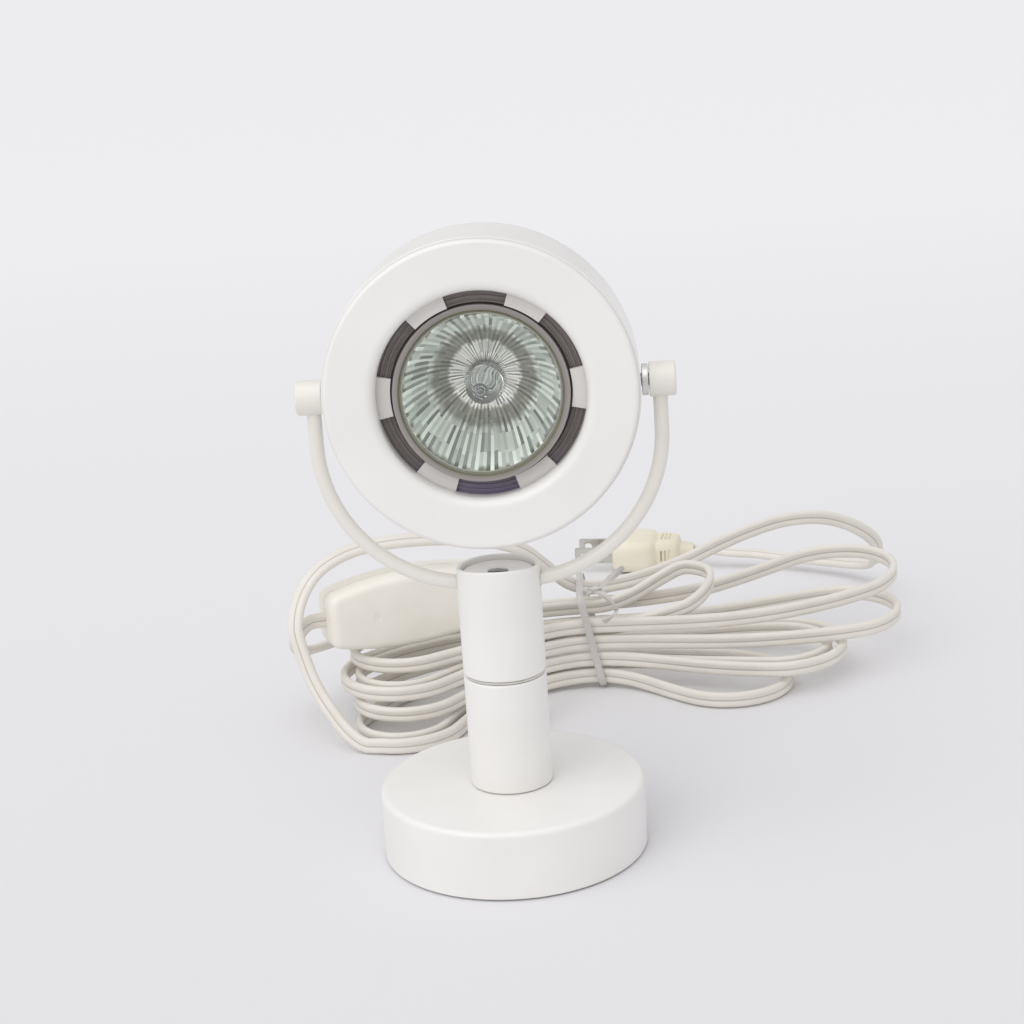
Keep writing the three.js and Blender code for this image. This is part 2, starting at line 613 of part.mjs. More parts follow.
function makeBulb(head) {
  const flangeBack = bulbFront + FLANGE_LENGTH;
  const bowlBack = bulbFront + REFLECTOR_LENGTH;
  const glassSeat = bulbFront + GLASS_THICKNESS + SEAT;
  const wide = GLASS_RADIUS - FLANGE_STEP;
  const inner = bowl(4, glassSeat, bowlBack, wide, REFLECTOR_NECK - REFLECTOR_WALL);
  const outer = bowl(4, flangeBack, bowlBack, wide + REFLECTOR_WALL, REFLECTOR_NECK);
  const reflector = turned([
    [GLASS_RADIUS + SLIP, bulbFront],
    [BULB_RADIUS, bulbFront],
    [BULB_RADIUS, flangeBack],
    ...outer,
    [REFLECTOR_NECK, reflectorEnd],
    [REFLECTOR_NECK - REFLECTOR_WALL, reflectorEnd],
    ...inner.reverse(),
    [GLASS_RADIUS + SLIP, glassSeat],
  ], FINE_SIDES);
  piece("bulb_reflector", towardBack(reflector), glass, head);

  const disc = ring(0, GLASS_RADIUS, bulbFront, bulbFront + GLASS_THICKNESS, FINE_SIDES);
  piece("bulb_glass", towardBack(disc), clearGlass, head);

  const capsuleBack = ceramicStart - SEAT - SEAT;
  const capsuleFront = capsuleBack - CAPSULE_REACH;
  const capsule = turned([
    [0, capsuleFront],
    ...arc(0, capsuleFront + CAPSULE_RADIUS, CAPSULE_RADIUS, -CAPSULE_DOME, 0, 3),
    [CAPSULE_RADIUS, capsuleBack - CAPSULE_STUB - CAPSULE_RADIUS],
    [CAPSULE_NECK, capsuleBack - CAPSULE_STUB],
    [CAPSULE_NECK, capsuleBack],
    [0, capsuleBack],
  ], SMALL_SIDES);
  piece("bulb_capsule", towardBack(capsule), clearGlass, head);

  const base = towardBack(turned([
    [0, ceramicStart],
    [CERAMIC_RADIUS, ceramicStart],
    [CERAMIC_END, ceramicBack],
    [0, ceramicBack],
  ], PLAIN_SIDES));
  piece("bulb_base", base, ceramic, head);
  for (const [side, sign] of [["left", -1], ["right", 1]]) {
    const start = ceramicBack + SEAT;
    const pin = towardBack(turned([
      [0, start],
      [BULB_PIN_RADIUS, start],
      [BULB_PIN_RADIUS, start + BULB_PIN_LENGTH - BULB_PIN_HEAD_LENGTH],
      [BULB_PIN_HEAD, start + BULB_PIN_LENGTH - BULB_PIN_HEAD_LENGTH],
      [BULB_PIN_HEAD, start + BULB_PIN_LENGTH],
      [0, start + BULB_PIN_LENGTH],
    ], TINY_SIDES));
    piece(`bulb_pin_${side}`, pin.translate(sign * PIN_SPREAD, 0, 0), zinc, head);
  }
}

// Lamp holder: a ceramic block on a strap inside the back of the shell
const HOLDER_RADIUS = 13;
const STRAP_LENGTH = 20;
const STRAP_WIDTH = 8;
const STRAP_THICKNESS = 1;
const HOLDER_SCREW_SPREAD = 8.7;
const HOLDER_SCREW_RADIUS = 0.9;
const HOLDER_SCREW_HEAD = 1.7;
const HOLDER_SCREW_HEAD_LENGTH = 1.4;
const HOLDER_SCREW_SUNK = 2.4;

function makeHolder(head, backIn) {
  const strapBack = backIn - SEAT;
  const strapFront = strapBack - STRAP_THICKNESS;
  const holderBack = strapFront - SEAT;
  const holderFront = ceramicBack + SEAT;
  const headFront = holderFront + HOLDER_SCREW_SUNK;
  const headBack = headFront + HOLDER_SCREW_HEAD_LENGTH;
  let block = towardBack(ring(0, HOLDER_RADIUS, holderFront, holderBack, PLAIN_SIDES));
  let strap = box(STRAP_LENGTH, STRAP_THICKNESS, STRAP_WIDTH, 0, (strapFront + strapBack) / 2, 0);
  for (const [side, sign] of [["left", -1], ["right", 1]]) {
    const socketDepth = holderFront + BULB_PIN_LENGTH + SEAT;
    const socket = towardBack(ring(0, BULB_PIN_HEAD + SLIP, holderFront - OVERRUN, socketDepth, TINY_SIDES));
    const x = sign * HOLDER_SCREW_SPREAD;
    const sink = towardBack(ring(0, HOLDER_SCREW_HEAD + SLIP, holderFront - OVERRUN, headBack + SEAT, TINY_SIDES));
    const bore = towardBack(ring(0, HOLDER_SCREW_RADIUS + SLIP, headBack, strapBack + OVERRUN, TINY_SIDES));
    sink.translate(x, 0, 0);
    bore.translate(x, 0, 0);
    block = cut(block, socket.translate(sign * PIN_SPREAD, 0, 0), sink, bore);
    strap = cut(strap, bore);
    const screw = towardBack(turned([
      [0, headFront],
      [HOLDER_SCREW_HEAD, headFront],
      [HOLDER_SCREW_HEAD, headBack],
      [HOLDER_SCREW_RADIUS, headBack],
      [HOLDER_SCREW_RADIUS, strapBack],
      [0, strapBack],
    ], TINY_SIDES));
    piece(`holder_screw_${side}`, screw.translate(x, 0, 0), zinc, head);
  }
  piece("lamp_holder", block, ceramic, head);
  piece("holder_bracket", strap, zinc, head);
}

// Cord: a flat two-core lead, swept along a route with its broad side kept from twisting
const CORD_WIDTH = 5.4;
const CORD_THICKNESS = 2.7;
const FACE_GAP = 0.3;

// Switch, plug and tie lie where the cord brings them
const SWITCH_LENGTH = 61;
const SWITCH_HEIGHT = 26;
const SWITCH_END_HEIGHT = 21;
const SWITCH_THICKNESS = 16;
const SWITCH_YAW = 25;
const SWITCH_PLACE = [-39.2, 118, 38.5];
const PLUG_YAW = 8;
const PLUG_PLACE = [50, 265, 0.6];

// Rings of points round each place of a route. The broad side starts upright and is carried along
// without twisting; a steady turn then brings it to the wanted direction at the far end. Where no
// direction is wanted, the broad side stays upright all the way.
function flatRings(route, sides, width, thickness, endBroad) {
  const tangents = route.map((p, i) => {
    const before = route[Math.max(i - 1, 0)];
    const after = route[Math.min(i + 1, route.length - 1)];
    return after.clone().sub(before).normalize();
  });
  const square = (way, tangent) => way.clone().addScaledVector(tangent, -way.dot(tangent)).normalize();
  const upright = new THREE.Vector3(0, 0, 1);
  let broad = upright;
  const broads = tangents.map((tangent, i) => {
    if (endBroad === null) return square(upright, tangent);
    if (i > 0) broad.applyQuaternion(new THREE.Quaternion().setFromUnitVectors(tangents[i - 1], tangent));
    broad = square(broad, tangent);
    return broad.clone();
  });
  const last = route.length - 1;
  const wanted = square(endBroad ?? upright, tangents[last]);
  let twist = Math.atan2(broads[last].clone().cross(wanted).dot(tangents[last]), broads[last].dot(wanted));
  if (twist > Math.PI / 2) twist -= Math.PI;
  if (twist < -Math.PI / 2) twist += Math.PI;
  return route.map((place, i) => {
    const across = broads[i].applyAxisAngle(tangents[i], (twist * i) / last);
    const thin = tangents[i].clone().cross(across);
    const points = [];
    for (let k = 0; k < sides; k++) {
      const angle = (2 * Math.PI * (k + 0.5)) / sides;
      const point = place.clone().addScaledVector(across, (width / 2) * Math.cos(angle));
      points.push(point.addScaledVector(thin, (thickness / 2) * Math.sin(angle)));
    }
    return points;
  });
}

// One closed flat tube along a route.
function flatTube(route, sides, width, thickness, endBroad) {
  const last = route.length - 1;
  const points = flatRings(route, sides, width, thickness, endBroad).flat();
  const positions = [...points, route[0], route[last]].flatMap((point) => point.toArray());
  const faces = [];
  for (let i = 0; i < last; i++) {
    for (let k = 0; k < sides; k++) {
      const next = (k + 1) % sides;
      const [a, b, c, d] = [i * sides + k, i * sides + next, (i + 1) * sides + next, (i + 1) * sides + k];
      faces.push(a, b, c, a, c, d);
    }
  }
  const startMiddle = route.length * sides;
  for (let k = 0; k < sides; k++) {
    const next = (k + 1) % sides;
    faces.push(startMiddle, next, k);
    faces.push(startMiddle + 1, last * sides + k, last * sides + next);
  }
  const geometry = new THREE.BufferGeometry();
  geometry.setAttribute("position", new THREE.Float32BufferAttribute(positions, 3));
  geometry.setIndex(faces);
  return geometry;
}

// A smooth route through points chosen by hand.
function smoothRoute(points, steps) {
  const curve = new THREE.CatmullRomCurve3(points.map((p) => new THREE.Vector3(...p)), false, "centripetal");
  return curve.getSpacedPoints(steps);
}

// Hank: turns that run round and round in four layers, drawn in at the waist where the tie holds
// them. The layers spiral in and out by turns, and the cord climbs from one to the next as it
// passes the waist. Out at both ends the layers fan apart.
const HANK_TURNS = 5.8;
const HANK_CLIMBS = [1.25, 2.75, 4.25];
const HANK_LAYER_TURNS = 1.5;
const HANK_CLIMB_SHARE = 0.12;
const HANK_WAIST_X = 24;
const HANK_MIDDLE_Y = 140;
const HANK_FLOOR = 3;
const HANK_LAYER = 6.2;
const HANK_PITCH = 5.2;
const HANK_WAIST_SQUEEZE = 0.24;
const HANK_TIE_LIFT = 1.6;
const HANK_WAIST_HALF_WIDTH = 13.5;
const HANK_LEFT = { run: [84, 76, 74, 70], heading: [-70, -57, -48, -34], lift: [0, 0, 0, 0], radius: 22 };
const HANK_RIGHT = { run: [52, 66, 90, 92], heading: [-38, -10, 12, 30], lift: [0, 1, 2, 7], radius: 25 };
// The one small free lobe, where the cord stands up out of the hank between tie and plug
const CURL_TURN = 4.5;
const CURL_RISE = 13;
const CURL = { run: 32, heading: 14, radius: 18.5 };
const HANK_STEPS = 22;
const GAP_SIDES = 12;
const GAP_STEPS = 6;

const ease = (t) => THREE.MathUtils.smoothstep(t, 0, 1);

// A quarter turn runs from a tip to the waist or back: half of its steps go round the tip.
function hankPoint(turn) {
  const quarter = (2 + 4 * turn) % 4;
  const right = quarter < 1 || quarter > 3;
  const backwards = quarter < 2 ? 1 : -1;
  const way = 2 * Math.abs(1 - (quarter % 2));
  const layer = HANK_CLIMBS.filter((climb) => turn > climb).length;
  const height = HANK_CLIMBS.reduce((sum, climb) => sum + ease((turn - climb) / HANK_CLIMB_SHARE / 2 + 0.5), 0);
  const wave = (turn - HANK_CLIMBS[0] + HANK_LAYER_TURNS) % (2 * HANK_LAYER_TURNS);
  const inset = HANK_LAYER_TURNS - Math.abs(wave - HANK_LAYER_TURNS);

  const side = right ? HANK_RIGHT : HANK_LEFT;
  const inCurl = Math.abs(turn - CURL_TURN) < 0.25;
  const radius = (inCurl ? CURL.radius : side.radius) - HANK_PITCH * inset;
  const run = inCurl ? CURL.run : side.run[layer];
  const heading = THREE.MathUtils.degToRad(inCurl ? CURL.heading : side.heading[layer]);
  const share = Math.min(way, 1);
  const facing = heading * share;
  const bend = (Math.max(way - 1, 0) * Math.PI) / 2;
  const waist = HANK_WAIST_HALF_WIDTH - HANK_PITCH * (1 - HANK_WAIST_SQUEEZE) * inset;
  const across = backwards * (waist + (radius - waist) * ease(share)) * Math.cos(bend);
  const ahead = radius * Math.sin(bend);
  const x = (run / heading) * Math.sin(facing) + ahead * Math.cos(facing) - across * Math.sin(facing);
  const y = (run / heading) * (1 - Math.cos(facing)) + ahead * Math.sin(facing) + across * Math.cos(facing);
  const out = (run * share + ahead) / (run + radius);
  const gone = 2 * (turn - CURL_TURN) + 0.5;
  const curlRise = CURL_RISE * ease(gone / 0.55) * (1 - ease((gone - 0.65) / 0.35));
  const rise = inCurl ? curlRise : out * out * side.lift[layer];
  return new THREE.Vector3(
    HANK_WAIST_X + (right ? x : -x),
    HANK_MIDDLE_Y + y,
    HANK_FLOOR + HANK_LAYER * height + HANK_TIE_LIFT * (1 - ease(2 * out)) + rise,
  );
}

function hankRoute(from, to, steps) {
  const count = Math.round((to - from) * steps);
  const route = [];
  for (let i = 0; i <= count; i++) route.push(hankPoint(from + ((to - from) * i) / count));
  return route;
}

// The least gap between the surfaces of two passes of the hank, measured on points of both.
function leastGap(route) {
  const rings = flatRings(route, GAP_SIDES, CORD_WIDTH, CORD_THICKNESS, null);
  const along = [0];
  for (let i = 1; i < route.length; i++) along.push(along[i - 1] + route[i].distanceTo(route[i - 1]));
  let least = Infinity;
  for (let i = 0; i < route.length; i++) {
    for (let k = i + 1; k < route.length; k++) {
      if (along[k] - along[i] < 4 * CORD_WIDTH || route[i].distanceTo(route[k]) > 2 * CORD_WIDTH) continue;
      for (const p of rings[i]) for (const q of rings[k]) least = Math.min(least, p.distanceTo(q));
    }
  }
  return least;
}

// Switch: two half shells, a rocker on a pin at the back, a contact strip and two screws.
// Its own frame has X along the cord, the plain front towards -Y and the rocker towards +Y.
const SWITCH_WALL = 1.5;
const SWITCH_EDGE = 1.2;
const SWITCH_MARK_RADIUS = 1.6;
const SWITCH_MARK_DEPTH = 0.3;
const SWITCH_MARK_X = 14;
const ROCKER_LENGTH = 17;
const ROCKER_HEIGHT = 10.4;
const ROCKER_TOP = 8.6;
const ROCKER_DIP = 7.8;
const ROCKER_FOOT = 4.2;
const ROCKER_FOOT_INSET = 0.9;
const ROCKER_TILT = 8;
const ROCKER_PIN_RADIUS = 0.9;
const ROCKER_PIN_HEIGHT = 5.9;
const ROCKER_SIDE_GAP = 0.6;
const ROCKER_END_GAP = 0.9;
const LUG_WIDTH = 4.4;
const LUG_THICKNESS = 1.4;
const LUG_DEPTH = 3.2;
const CONTACT_LENGTH = 14;
const CONTACT_HEIGHT = 6;
const CONTACT_THICKNESS = 0.5;
const CONTACT_POST = 8;
const CONTACT_POST_TOP = 0.6;
const SWITCH_SCREW_X = 22;
const SWITCH_SCREW_RADIUS = 1.2;
const SWITCH_SCREW_HEAD = 2.3;
const SWITCH_SCREW_HEAD_HEIGHT = 1.3;
const SWITCH_SCREW_SUNK = 0.4;
const SWITCH_SCREW_LENGTH = 11;
const SWITCH_POST_RADIUS = 3.2;

// A barrel-shaped plate, standing on edge along X, from one depth to another.
function barrel(inset, front, back, edge) {
  const half = SWITCH_LENGTH / 2 - inset;
  const end = SWITCH_END_HEIGHT / 2 - inset;
  const swell = SWITCH_HEIGHT - SWITCH_END_HEIGHT / 2 - inset;
  const outline = new THREE.Shape().moveTo(-half, -end);
  outline.quadraticCurveTo(0, -swell, half, -end).lineTo(half, end).quadraticCurveTo(0, swell, -half, end);
  outline.closePath();
  const plate = new THREE.ExtrudeGeometry(outline, {
    depth: back - front - 2 * edge,
    curveSegments: 8,
    bevelEnabled: edge > 0,
    bevelSegments: 2,
    bevelSize: edge,
    bevelOffset: -edge,
    bevelThickness: edge,
  });
  return towardBack(plate).translate(0, front + edge, 0);
}

const acrossBack = (hole, radius, low, high, sides) => towardBack(ring(hole, radius, low, high, sides));

function makeSwitch() {
  const place = new THREE.Group();
  place.position.set(...SWITCH_PLACE);
  place.rotation.z = THREE.MathUtils.degToRad(SWITCH_YAW);
  lamp.add(place);

  const half = SWITCH_THICKNESS / 2;
  const inner = half - SWITCH_WALL;
  const pocket = barrel(SWITCH_WALL, -inner, inner, 0);
  const hollow = cut(barrel(0, -half, half, SWITCH_EDGE), pocket);
  const reach = SWITCH_LENGTH + OVERRUN;
  const backHalf = box(reach, half + OVERRUN, 2 * SWITCH_HEIGHT, 0, (half + OVERRUN - SEAT) / 2, 0);
  const frontHalf = box(reach, half + OVERRUN, 2 * SWITCH_HEIGHT, 0, (SEAT - half - OVERRUN) / 2, 0);

  const markTop = SWITCH_MARK_DEPTH - half;
  const mark = acrossBack(0, SWITCH_MARK_RADIUS, -half - OVERRUN, markTop, TINY_SIDES);
  const postDepth = CONTACT_POST_TOP + inner + OVERRUN / 2;
  const contactPost = box(CONTACT_POST, postDepth, CONTACT_HEIGHT, 0, CONTACT_POST_TOP - postDepth / 2, 0);
  let front = cut(hollow, backHalf, mark.translate(-SWITCH_MARK_X, 0, 0));
  front = join(front, contactPost);

  const lugHeight = ROCKER_HEIGHT / 2 + ROCKER_SIDE_GAP + LUG_THICKNESS / 2;
  const lugTop = inner + OVERRUN / 2;
  const lug = (sign) => box(LUG_WIDTH, LUG_DEPTH, LUG_THICKNESS, 0, lugTop - LUG_DEPTH / 2, sign * lugHeight);
  const openLength = ROCKER_LENGTH + 2 * ROCKER_END_GAP;
  const openHeight = ROCKER_HEIGHT + 2 * ROCKER_SIDE_GAP;
  const opening = box(openLength, SWITCH_WALL + 2 * OVERRUN, openHeight, 0, half, 0);
  const pinEnd = lugHeight + LUG_THICKNESS / 2;
  const pinBore = ring(0, ROCKER_PIN_RADIUS + SLIP, -pinEnd - OVERRUN, pinEnd + OVERRUN, TINY_SIDES);
  pinBore.translate(0, ROCKER_PIN_HEIGHT, 0);
  let back = join(cut(hollow, frontHalf), lug(1), lug(-1));

  const headTop = half - SWITCH_SCREW_SUNK;
  const headLow = headTop - SWITCH_SCREW_HEAD_HEIGHT;
  for (const [side, x] of [["left", -SWITCH_SCREW_X], ["right", SWITCH_SCREW_X]]) {
    const frontPost = acrossBack(0, SWITCH_POST_RADIUS, -inner - OVERRUN / 2, -SEAT, TINY_SIDES);
    const backPost = acrossBack(0, SWITCH_POST_RADIUS, SEAT, inner + OVERRUN / 2, TINY_SIDES);
    const shankLow = headTop - SWITCH_SCREW_LENGTH;
    const bore = acrossBack(0, SWITCH_SCREW_RADIUS + SLIP, shankLow - SEAT, half, TINY_SIDES);
    const sink = acrossBack(0, SWITCH_SCREW_HEAD + SLIP, headLow - SEAT, half + OVERRUN, TINY_SIDES);
    for (const shape of [frontPost, backPost, bore, sink]) shape.translate(x, 0, 0);
    front = cut(join(front, frontPost), bore);
    back = cut(join(back, backPost), bore, sink);
    const screw = towardBack(turned([
      [0, shankLow],
      [SWITCH_SCREW_RADIUS, shankLow],
      [SWITCH_SCREW_RADIUS, headLow],
      [SWITCH_SCREW_HEAD, headLow],
      [SWITCH_SCREW_HEAD, headTop],
      [0, headTop],
    ], TINY_SIDES));
    piece(`switch_screw_${side}`, screw.translate(x, 0, 0), zinc, place);
  }
  piece("switch_front", front, moulded, place);
  piece("switch_back", cut(back, opening, pinBore), moulded, place);

  const contactMiddle = CONTACT_POST_TOP + SEAT + CONTACT_THICKNESS / 2;
  const contact = box(CONTACT_LENGTH, CONTACT_THICKNESS, CONTACT_HEIGHT, 0, contactMiddle, 0);
  piece("switch_contact", contact, brass, place);

  const end = ROCKER_LENGTH / 2;
  const outline = new THREE.Shape([
    new THREE.Vector2(-end, ROCKER_TOP),
    new THREE.Vector2(ROCKER_FOOT_INSET - end, ROCKER_FOOT),
    new THREE.Vector2(end - ROCKER_FOOT_INSET, ROCKER_FOOT),
    new THREE.Vector2(end, ROCKER_TOP),
    new THREE.Vector2(0, ROCKER_DIP),
  ]);
  const bar = new THREE.ExtrudeGeometry(outline, { depth: ROCKER_HEIGHT, bevelEnabled: false });
  const rocker = cut(bar.translate(0, 0, -ROCKER_HEIGHT / 2), pinBore).translate(0, -ROCKER_PIN_HEIGHT, 0);
  rocker.rotateZ(THREE.MathUtils.degToRad(ROCKER_TILT)).translate(0, ROCKER_PIN_HEIGHT, 0);
  piece("switch_rocker", rocker, moulded, place);
  const pin = ring(0, ROCKER_PIN_RADIUS, -pinEnd, pinEnd, TINY_SIDES).translate(0, ROCKER_PIN_HEIGHT, 0);
  piece("rocker_pin", pin, steel, place);
  return place;
}

// Plug: a moulded body with two flat blades. Its own frame has the blades towards -X.
const PLUG_LENGTH = 33;
const PLUG_WIDTH = 24;
const PLUG_THICKNESS = 13.6;
const PLUG_EDGE = 2.2;
const PLUG_SHOULDER = 17;
const PLUG_GRIP_WIDTH = 15;
const PLUG_GRIP_LENGTH = 9.5;
const PLUG_END_WIDTH = 7.4;
const BLADE_SPACING = 12.7;
const BLADE_THICKNESS = 1.5;
const BLADE_WIDTH = 6.3;
const BLADE_LENGTH = 16;
const BLADE_SINK = 3.4;

function makePlug() {
  const place = new THREE.Group();
  place.position.set(...PLUG_PLACE);
  place.rotation.z = THREE.MathUtils.degToRad(-PLUG_YAW);
  lamp.add(place);
  const front = -PLUG_LENGTH / 2;
  const shoulder = front + PLUG_SHOULDER;
  const gripEnd = shoulder + PLUG_GRIP_LENGTH;
  const half = [
    [front, PLUG_WIDTH / 2],
    [shoulder, PLUG_WIDTH / 2],
    [shoulder + (PLUG_WIDTH - PLUG_GRIP_WIDTH) / 2, PLUG_GRIP_WIDTH / 2],
    [gripEnd, PLUG_GRIP_WIDTH / 2],
    [PLUG_LENGTH / 2, PLUG_END_WIDTH / 2],
  ];
  const corners = [...half, ...half.map(([x, y]) => [x, -y]).reverse()];
  const body = new THREE.ExtrudeGeometry(new THREE.Shape(corners.map(([x, y]) => new THREE.Vector2(x, y))), {
    depth: PLUG_THICKNESS - 2 * PLUG_EDGE,
    bevelSegments: 2,
    bevelSize: PLUG_EDGE,
    bevelOffset: -PLUG_EDGE,
    bevelThickness: PLUG_EDGE,
  }).translate(0, 0, PLUG_EDGE);
  const bladeMiddle = front - BLADE_LENGTH / 2 + BLADE_SINK / 2;
  const bladeSize = [BLADE_LENGTH + BLADE_SINK, BLADE_THICKNESS, BLADE_WIDTH];
  const slots = [];
  for (const [side, sign] of [["left", -1], ["right", 1]]) {
    const at = [bladeMiddle, (sign * BLADE_SPACING) / 2, PLUG_THICKNESS / 2];
    slots.push(box(...bladeSize.map((size) => size + 2 * SLIP), ...at));
    piece(`plug_blade_${side}`, box(...bladeSize, ...at), brass, place);
  }
  piece("plug_body", cut(body, ...slots), plugPlastic, place);
  return place;
}

// The tie: a flat band round the waist of the hank, twisted together on top into two loose ends
const TIE_WIDTH = 3.4;
const TIE_THICKNESS = 0.8;
const TIE_CORNER = 3;
const TIE_LOW = 0.4;
const TIE_HIGH = 35.2;
const TIE_FRONT = 124.4;
const TIE_BACK = 157.1;
const TIE_TURN = 9;
const TIE_ENDS = [
  [[24, 129.4, 34.6], [25.4, 128.6, 37.6], [30.6, 127.4, 40.4], [36.4, 128.4, 44.4]],
  [[23.6, 128.2, 34.6], [27.2, 126.4, 36.4], [31, 123.6, 34.8], [33.6, 122.2, 31.4], [31.2, 122, 28]],
];

function makeTie() {
  const rounded = (grow) => {
    const [low, high] = [TIE_LOW - grow, TIE_HIGH + grow];
    const [near, far] = [TIE_FRONT - grow, TIE_BACK + grow];
    const corner = TIE_CORNER + grow;
    const shape = new THREE.Shape().moveTo(near + corner, low).lineTo(far - corner, low);
    shape.absarc(far - corner, low + corner, corner, -Math.PI / 2, 0);
    shape.absarc(far - corner, high - corner, corner, 0, Math.PI / 2);
    shape.absarc(near + corner, high - corner, corner, Math.PI / 2, Math.PI);
    shape.absarc(near + corner, low + corner, corner, Math.PI, (3 * Math.PI) / 2);
    return shape;
  };
  const outline = rounded(0);
  outline.holes.push(new THREE.Path(rounded(-TIE_THICKNESS).getPoints(5)));
  const band = new THREE.ExtrudeGeometry(outline, {
    depth: TIE_WIDTH,
    curveSegments: 5,
    bevelEnabled: false,
  });
  band.translate(0, 0, -TIE_WIDTH / 2).rotateX(Math.PI / 2).rotateZ(Math.PI / 2).translate(HANK_WAIST_X, 0, 0);
  const ends = TIE_ENDS.map((points) => {
    return flatTube(smoothRoute(points, 10), 6, TIE_WIDTH * 0.7, TIE_THICKNESS, new THREE.Vector3(0, 0, 1));
  });
  piece("twist_tie", join(band, ...ends), tiePlastic);
}

// Free stretches of the cord, chosen by hand; the ends are added square to what they meet
const LEAD_ROUTE = [
  [0, 76, 6.2], [1.4, 85, 5], [2.6, 94, 6], [3.6, 101, 11], [4.4, 107, 19.5], [4.8, 113, 28.5],
  [4.6, 119.6, 34.8], [3.6, 126.6, 38.2], [0.8, 132.2, 39.2], [-3.4, 133.9, 38.9],
];
const LOOP_ROUTE = [
  [-76, 102.2, 35], [-77.4, 105.4, 29], [-75.8, 113.6, 24.6], [-68, 128, 22], [-54, 144.2, 21.6],
];
const TAIL_ROUTE = [
  [-59, 79.8, 6.4], [-66, 85, 14.4], [-70.8, 89, 22.4],
  [-73.8, 91.8, 31], [-75.6, 93.6, 40],
  [-73.6, 98, 49], [-68, 104, 56.2], [-58, 110.8, 60.4], [-45, 115.4, 61.8], [-31, 118.4, 61.6],
  [-16, 121, 60], [-5, 124, 56.8], [2.4, 128, 52.4], [7.4, 132.8, 46.6], [12, 138.2, 40.4],
  [17, 143.8, 34.6], [23.6, 148.8, 31], [32, 154.8, 29.6], [44, 163, 29.4], [58, 171.6, 31.2],
  [72, 181, 34.4], [84, 186.2, 37.4], [98, 191.4, 39.6], [113, 196.4, 38.4], [126, 202.8, 32.2],
  [134.4, 209.8, 23.6], [135.6, 217.4, 14.4],
  [134, 227.4, 8.8], [127, 237.4, 6.2], [116, 245.6, 5.4], [104, 252, 5.4], [91, 257.4, 6],
  [80, 259.6, 6.6],
];
const LEAD_STEPS = 36;
const LOOP_STEPS = 24;
const TAIL_STEPS = 84;
const FREE_SIDES = 8;
const HANK_SIDES = 6;

// A point on a placed group's own frame, in the lamp's frame.
function onGroup(group, x, y, z) {
  group.updateMatrixWorld(true);
  const point = new THREE.Vector3(x, y, z).applyMatrix4(group.matrixWorld);
  return [point.x, point.y, point.z];
}

// Two points, the first facing a piece across the gap and the second straight on from it.
function squareEnd(group, x, side, z) {
  const face = x + side * FACE_GAP;
  return [onGroup(group, face, 0, z), onGroup(group, face + side * CORD_WIDTH, 0, z)];
}

function makeCord(switchPlace, plugPlace) {
  const upright = new THREE.Vector3(0, 0, 1);
  const glandEnd = BASE_RADIUS + SEAT + GLAND_COLLAR_LENGTH + GLAND_TAIL + FACE_GAP;
  const leadStart = [[0, glandEnd, GLAND_HEIGHT], [0, glandEnd + CORD_WIDTH, GLAND_HEIGHT]];
  const switchRight = squareEnd(switchPlace, SWITCH_LENGTH / 2, 1, 0);
  const switchLeft = squareEnd(switchPlace, -SWITCH_LENGTH / 2, -1, 0);
  const plugEnd = squareEnd(plugPlace, PLUG_LENGTH / 2, 1, PLUG_THICKNESS / 2);

  const lead = smoothRoute([...leadStart, ...LEAD_ROUTE, ...switchRight.reverse()], LEAD_STEPS);
  piece("cord_lead", flatTube(lead, FREE_SIDES, CORD_WIDTH, CORD_THICKNESS, upright), rubber);

  const hank = hankRoute(0, HANK_TURNS, HANK_STEPS);
  piece("cord_hank", flatTube(hank, HANK_SIDES, CORD_WIDTH, CORD_THICKNESS, null), rubber);

  const last = hank.length - 1;
  const meet = (point, way, distance) => point.clone().addScaledVector(way, distance).toArray();
  const before = hank[0].clone().sub(hank[1]).normalize();
  const beyond = hank[last].clone().sub(hank[last - 1]).normalize();
  const loopEnd = [meet(hank[last], beyond, CORD_WIDTH + FACE_GAP), meet(hank[last], beyond, FACE_GAP)];
  const loop = smoothRoute([...switchLeft, ...LOOP_ROUTE, ...loopEnd], LOOP_STEPS);
  piece("cord_loop", flatTube(loop, FREE_SIDES, CORD_WIDTH, CORD_THICKNESS, upright), rubber);

  const tailStart = [meet(hank[0], before, FACE_GAP), meet(hank[0], before, CORD_WIDTH + FACE_GAP)];
  const tail = smoothRoute([...tailStart, ...TAIL_ROUTE, ...plugEnd.reverse()], TAIL_STEPS);
  const level = new THREE.Vector3(0, 1, 0).transformDirection(plugPlace.matrixWorld);
  piece("cord_tail", flatTube(tail, FREE_SIDES, CORD_WIDTH, CORD_THICKNESS, level), rubber);

  const length = (route) => route.slice(1).reduce((sum, p, i) => sum + p.distanceTo(route[i]), 0);
  const total = length(lead) + length(loop) + length(hank) + length(tail) + SWITCH_LENGTH;
  console.log(`cord: ${total.toFixed(0)} mm in all, hank ${length(hank).toFixed(0)} mm in ${HANK_TURNS} turns`);
  const gap = leastGap(hankRoute(0, HANK_TURNS, HANK_STEPS * GAP_STEPS));
  console.log(`hank: least gap to itself ${gap.toFixed(2)} mm`);
}

makeBase();
makeGland();
makeStem();
makeYoke();
makePivots();

const head = new THREE.Group();
head.position.set(-HEAD_SHIFT, 0, pivotHeight);
lamp.add(head);
const { backIn } = makeHeadShell(head);
makeHeadFront(head);
makeRetainer(head);
makeBulb(head);
makeHolder(head, backIn);
makeTie();
makeCord(makeSwitch(), makePlug());

export default lamp;
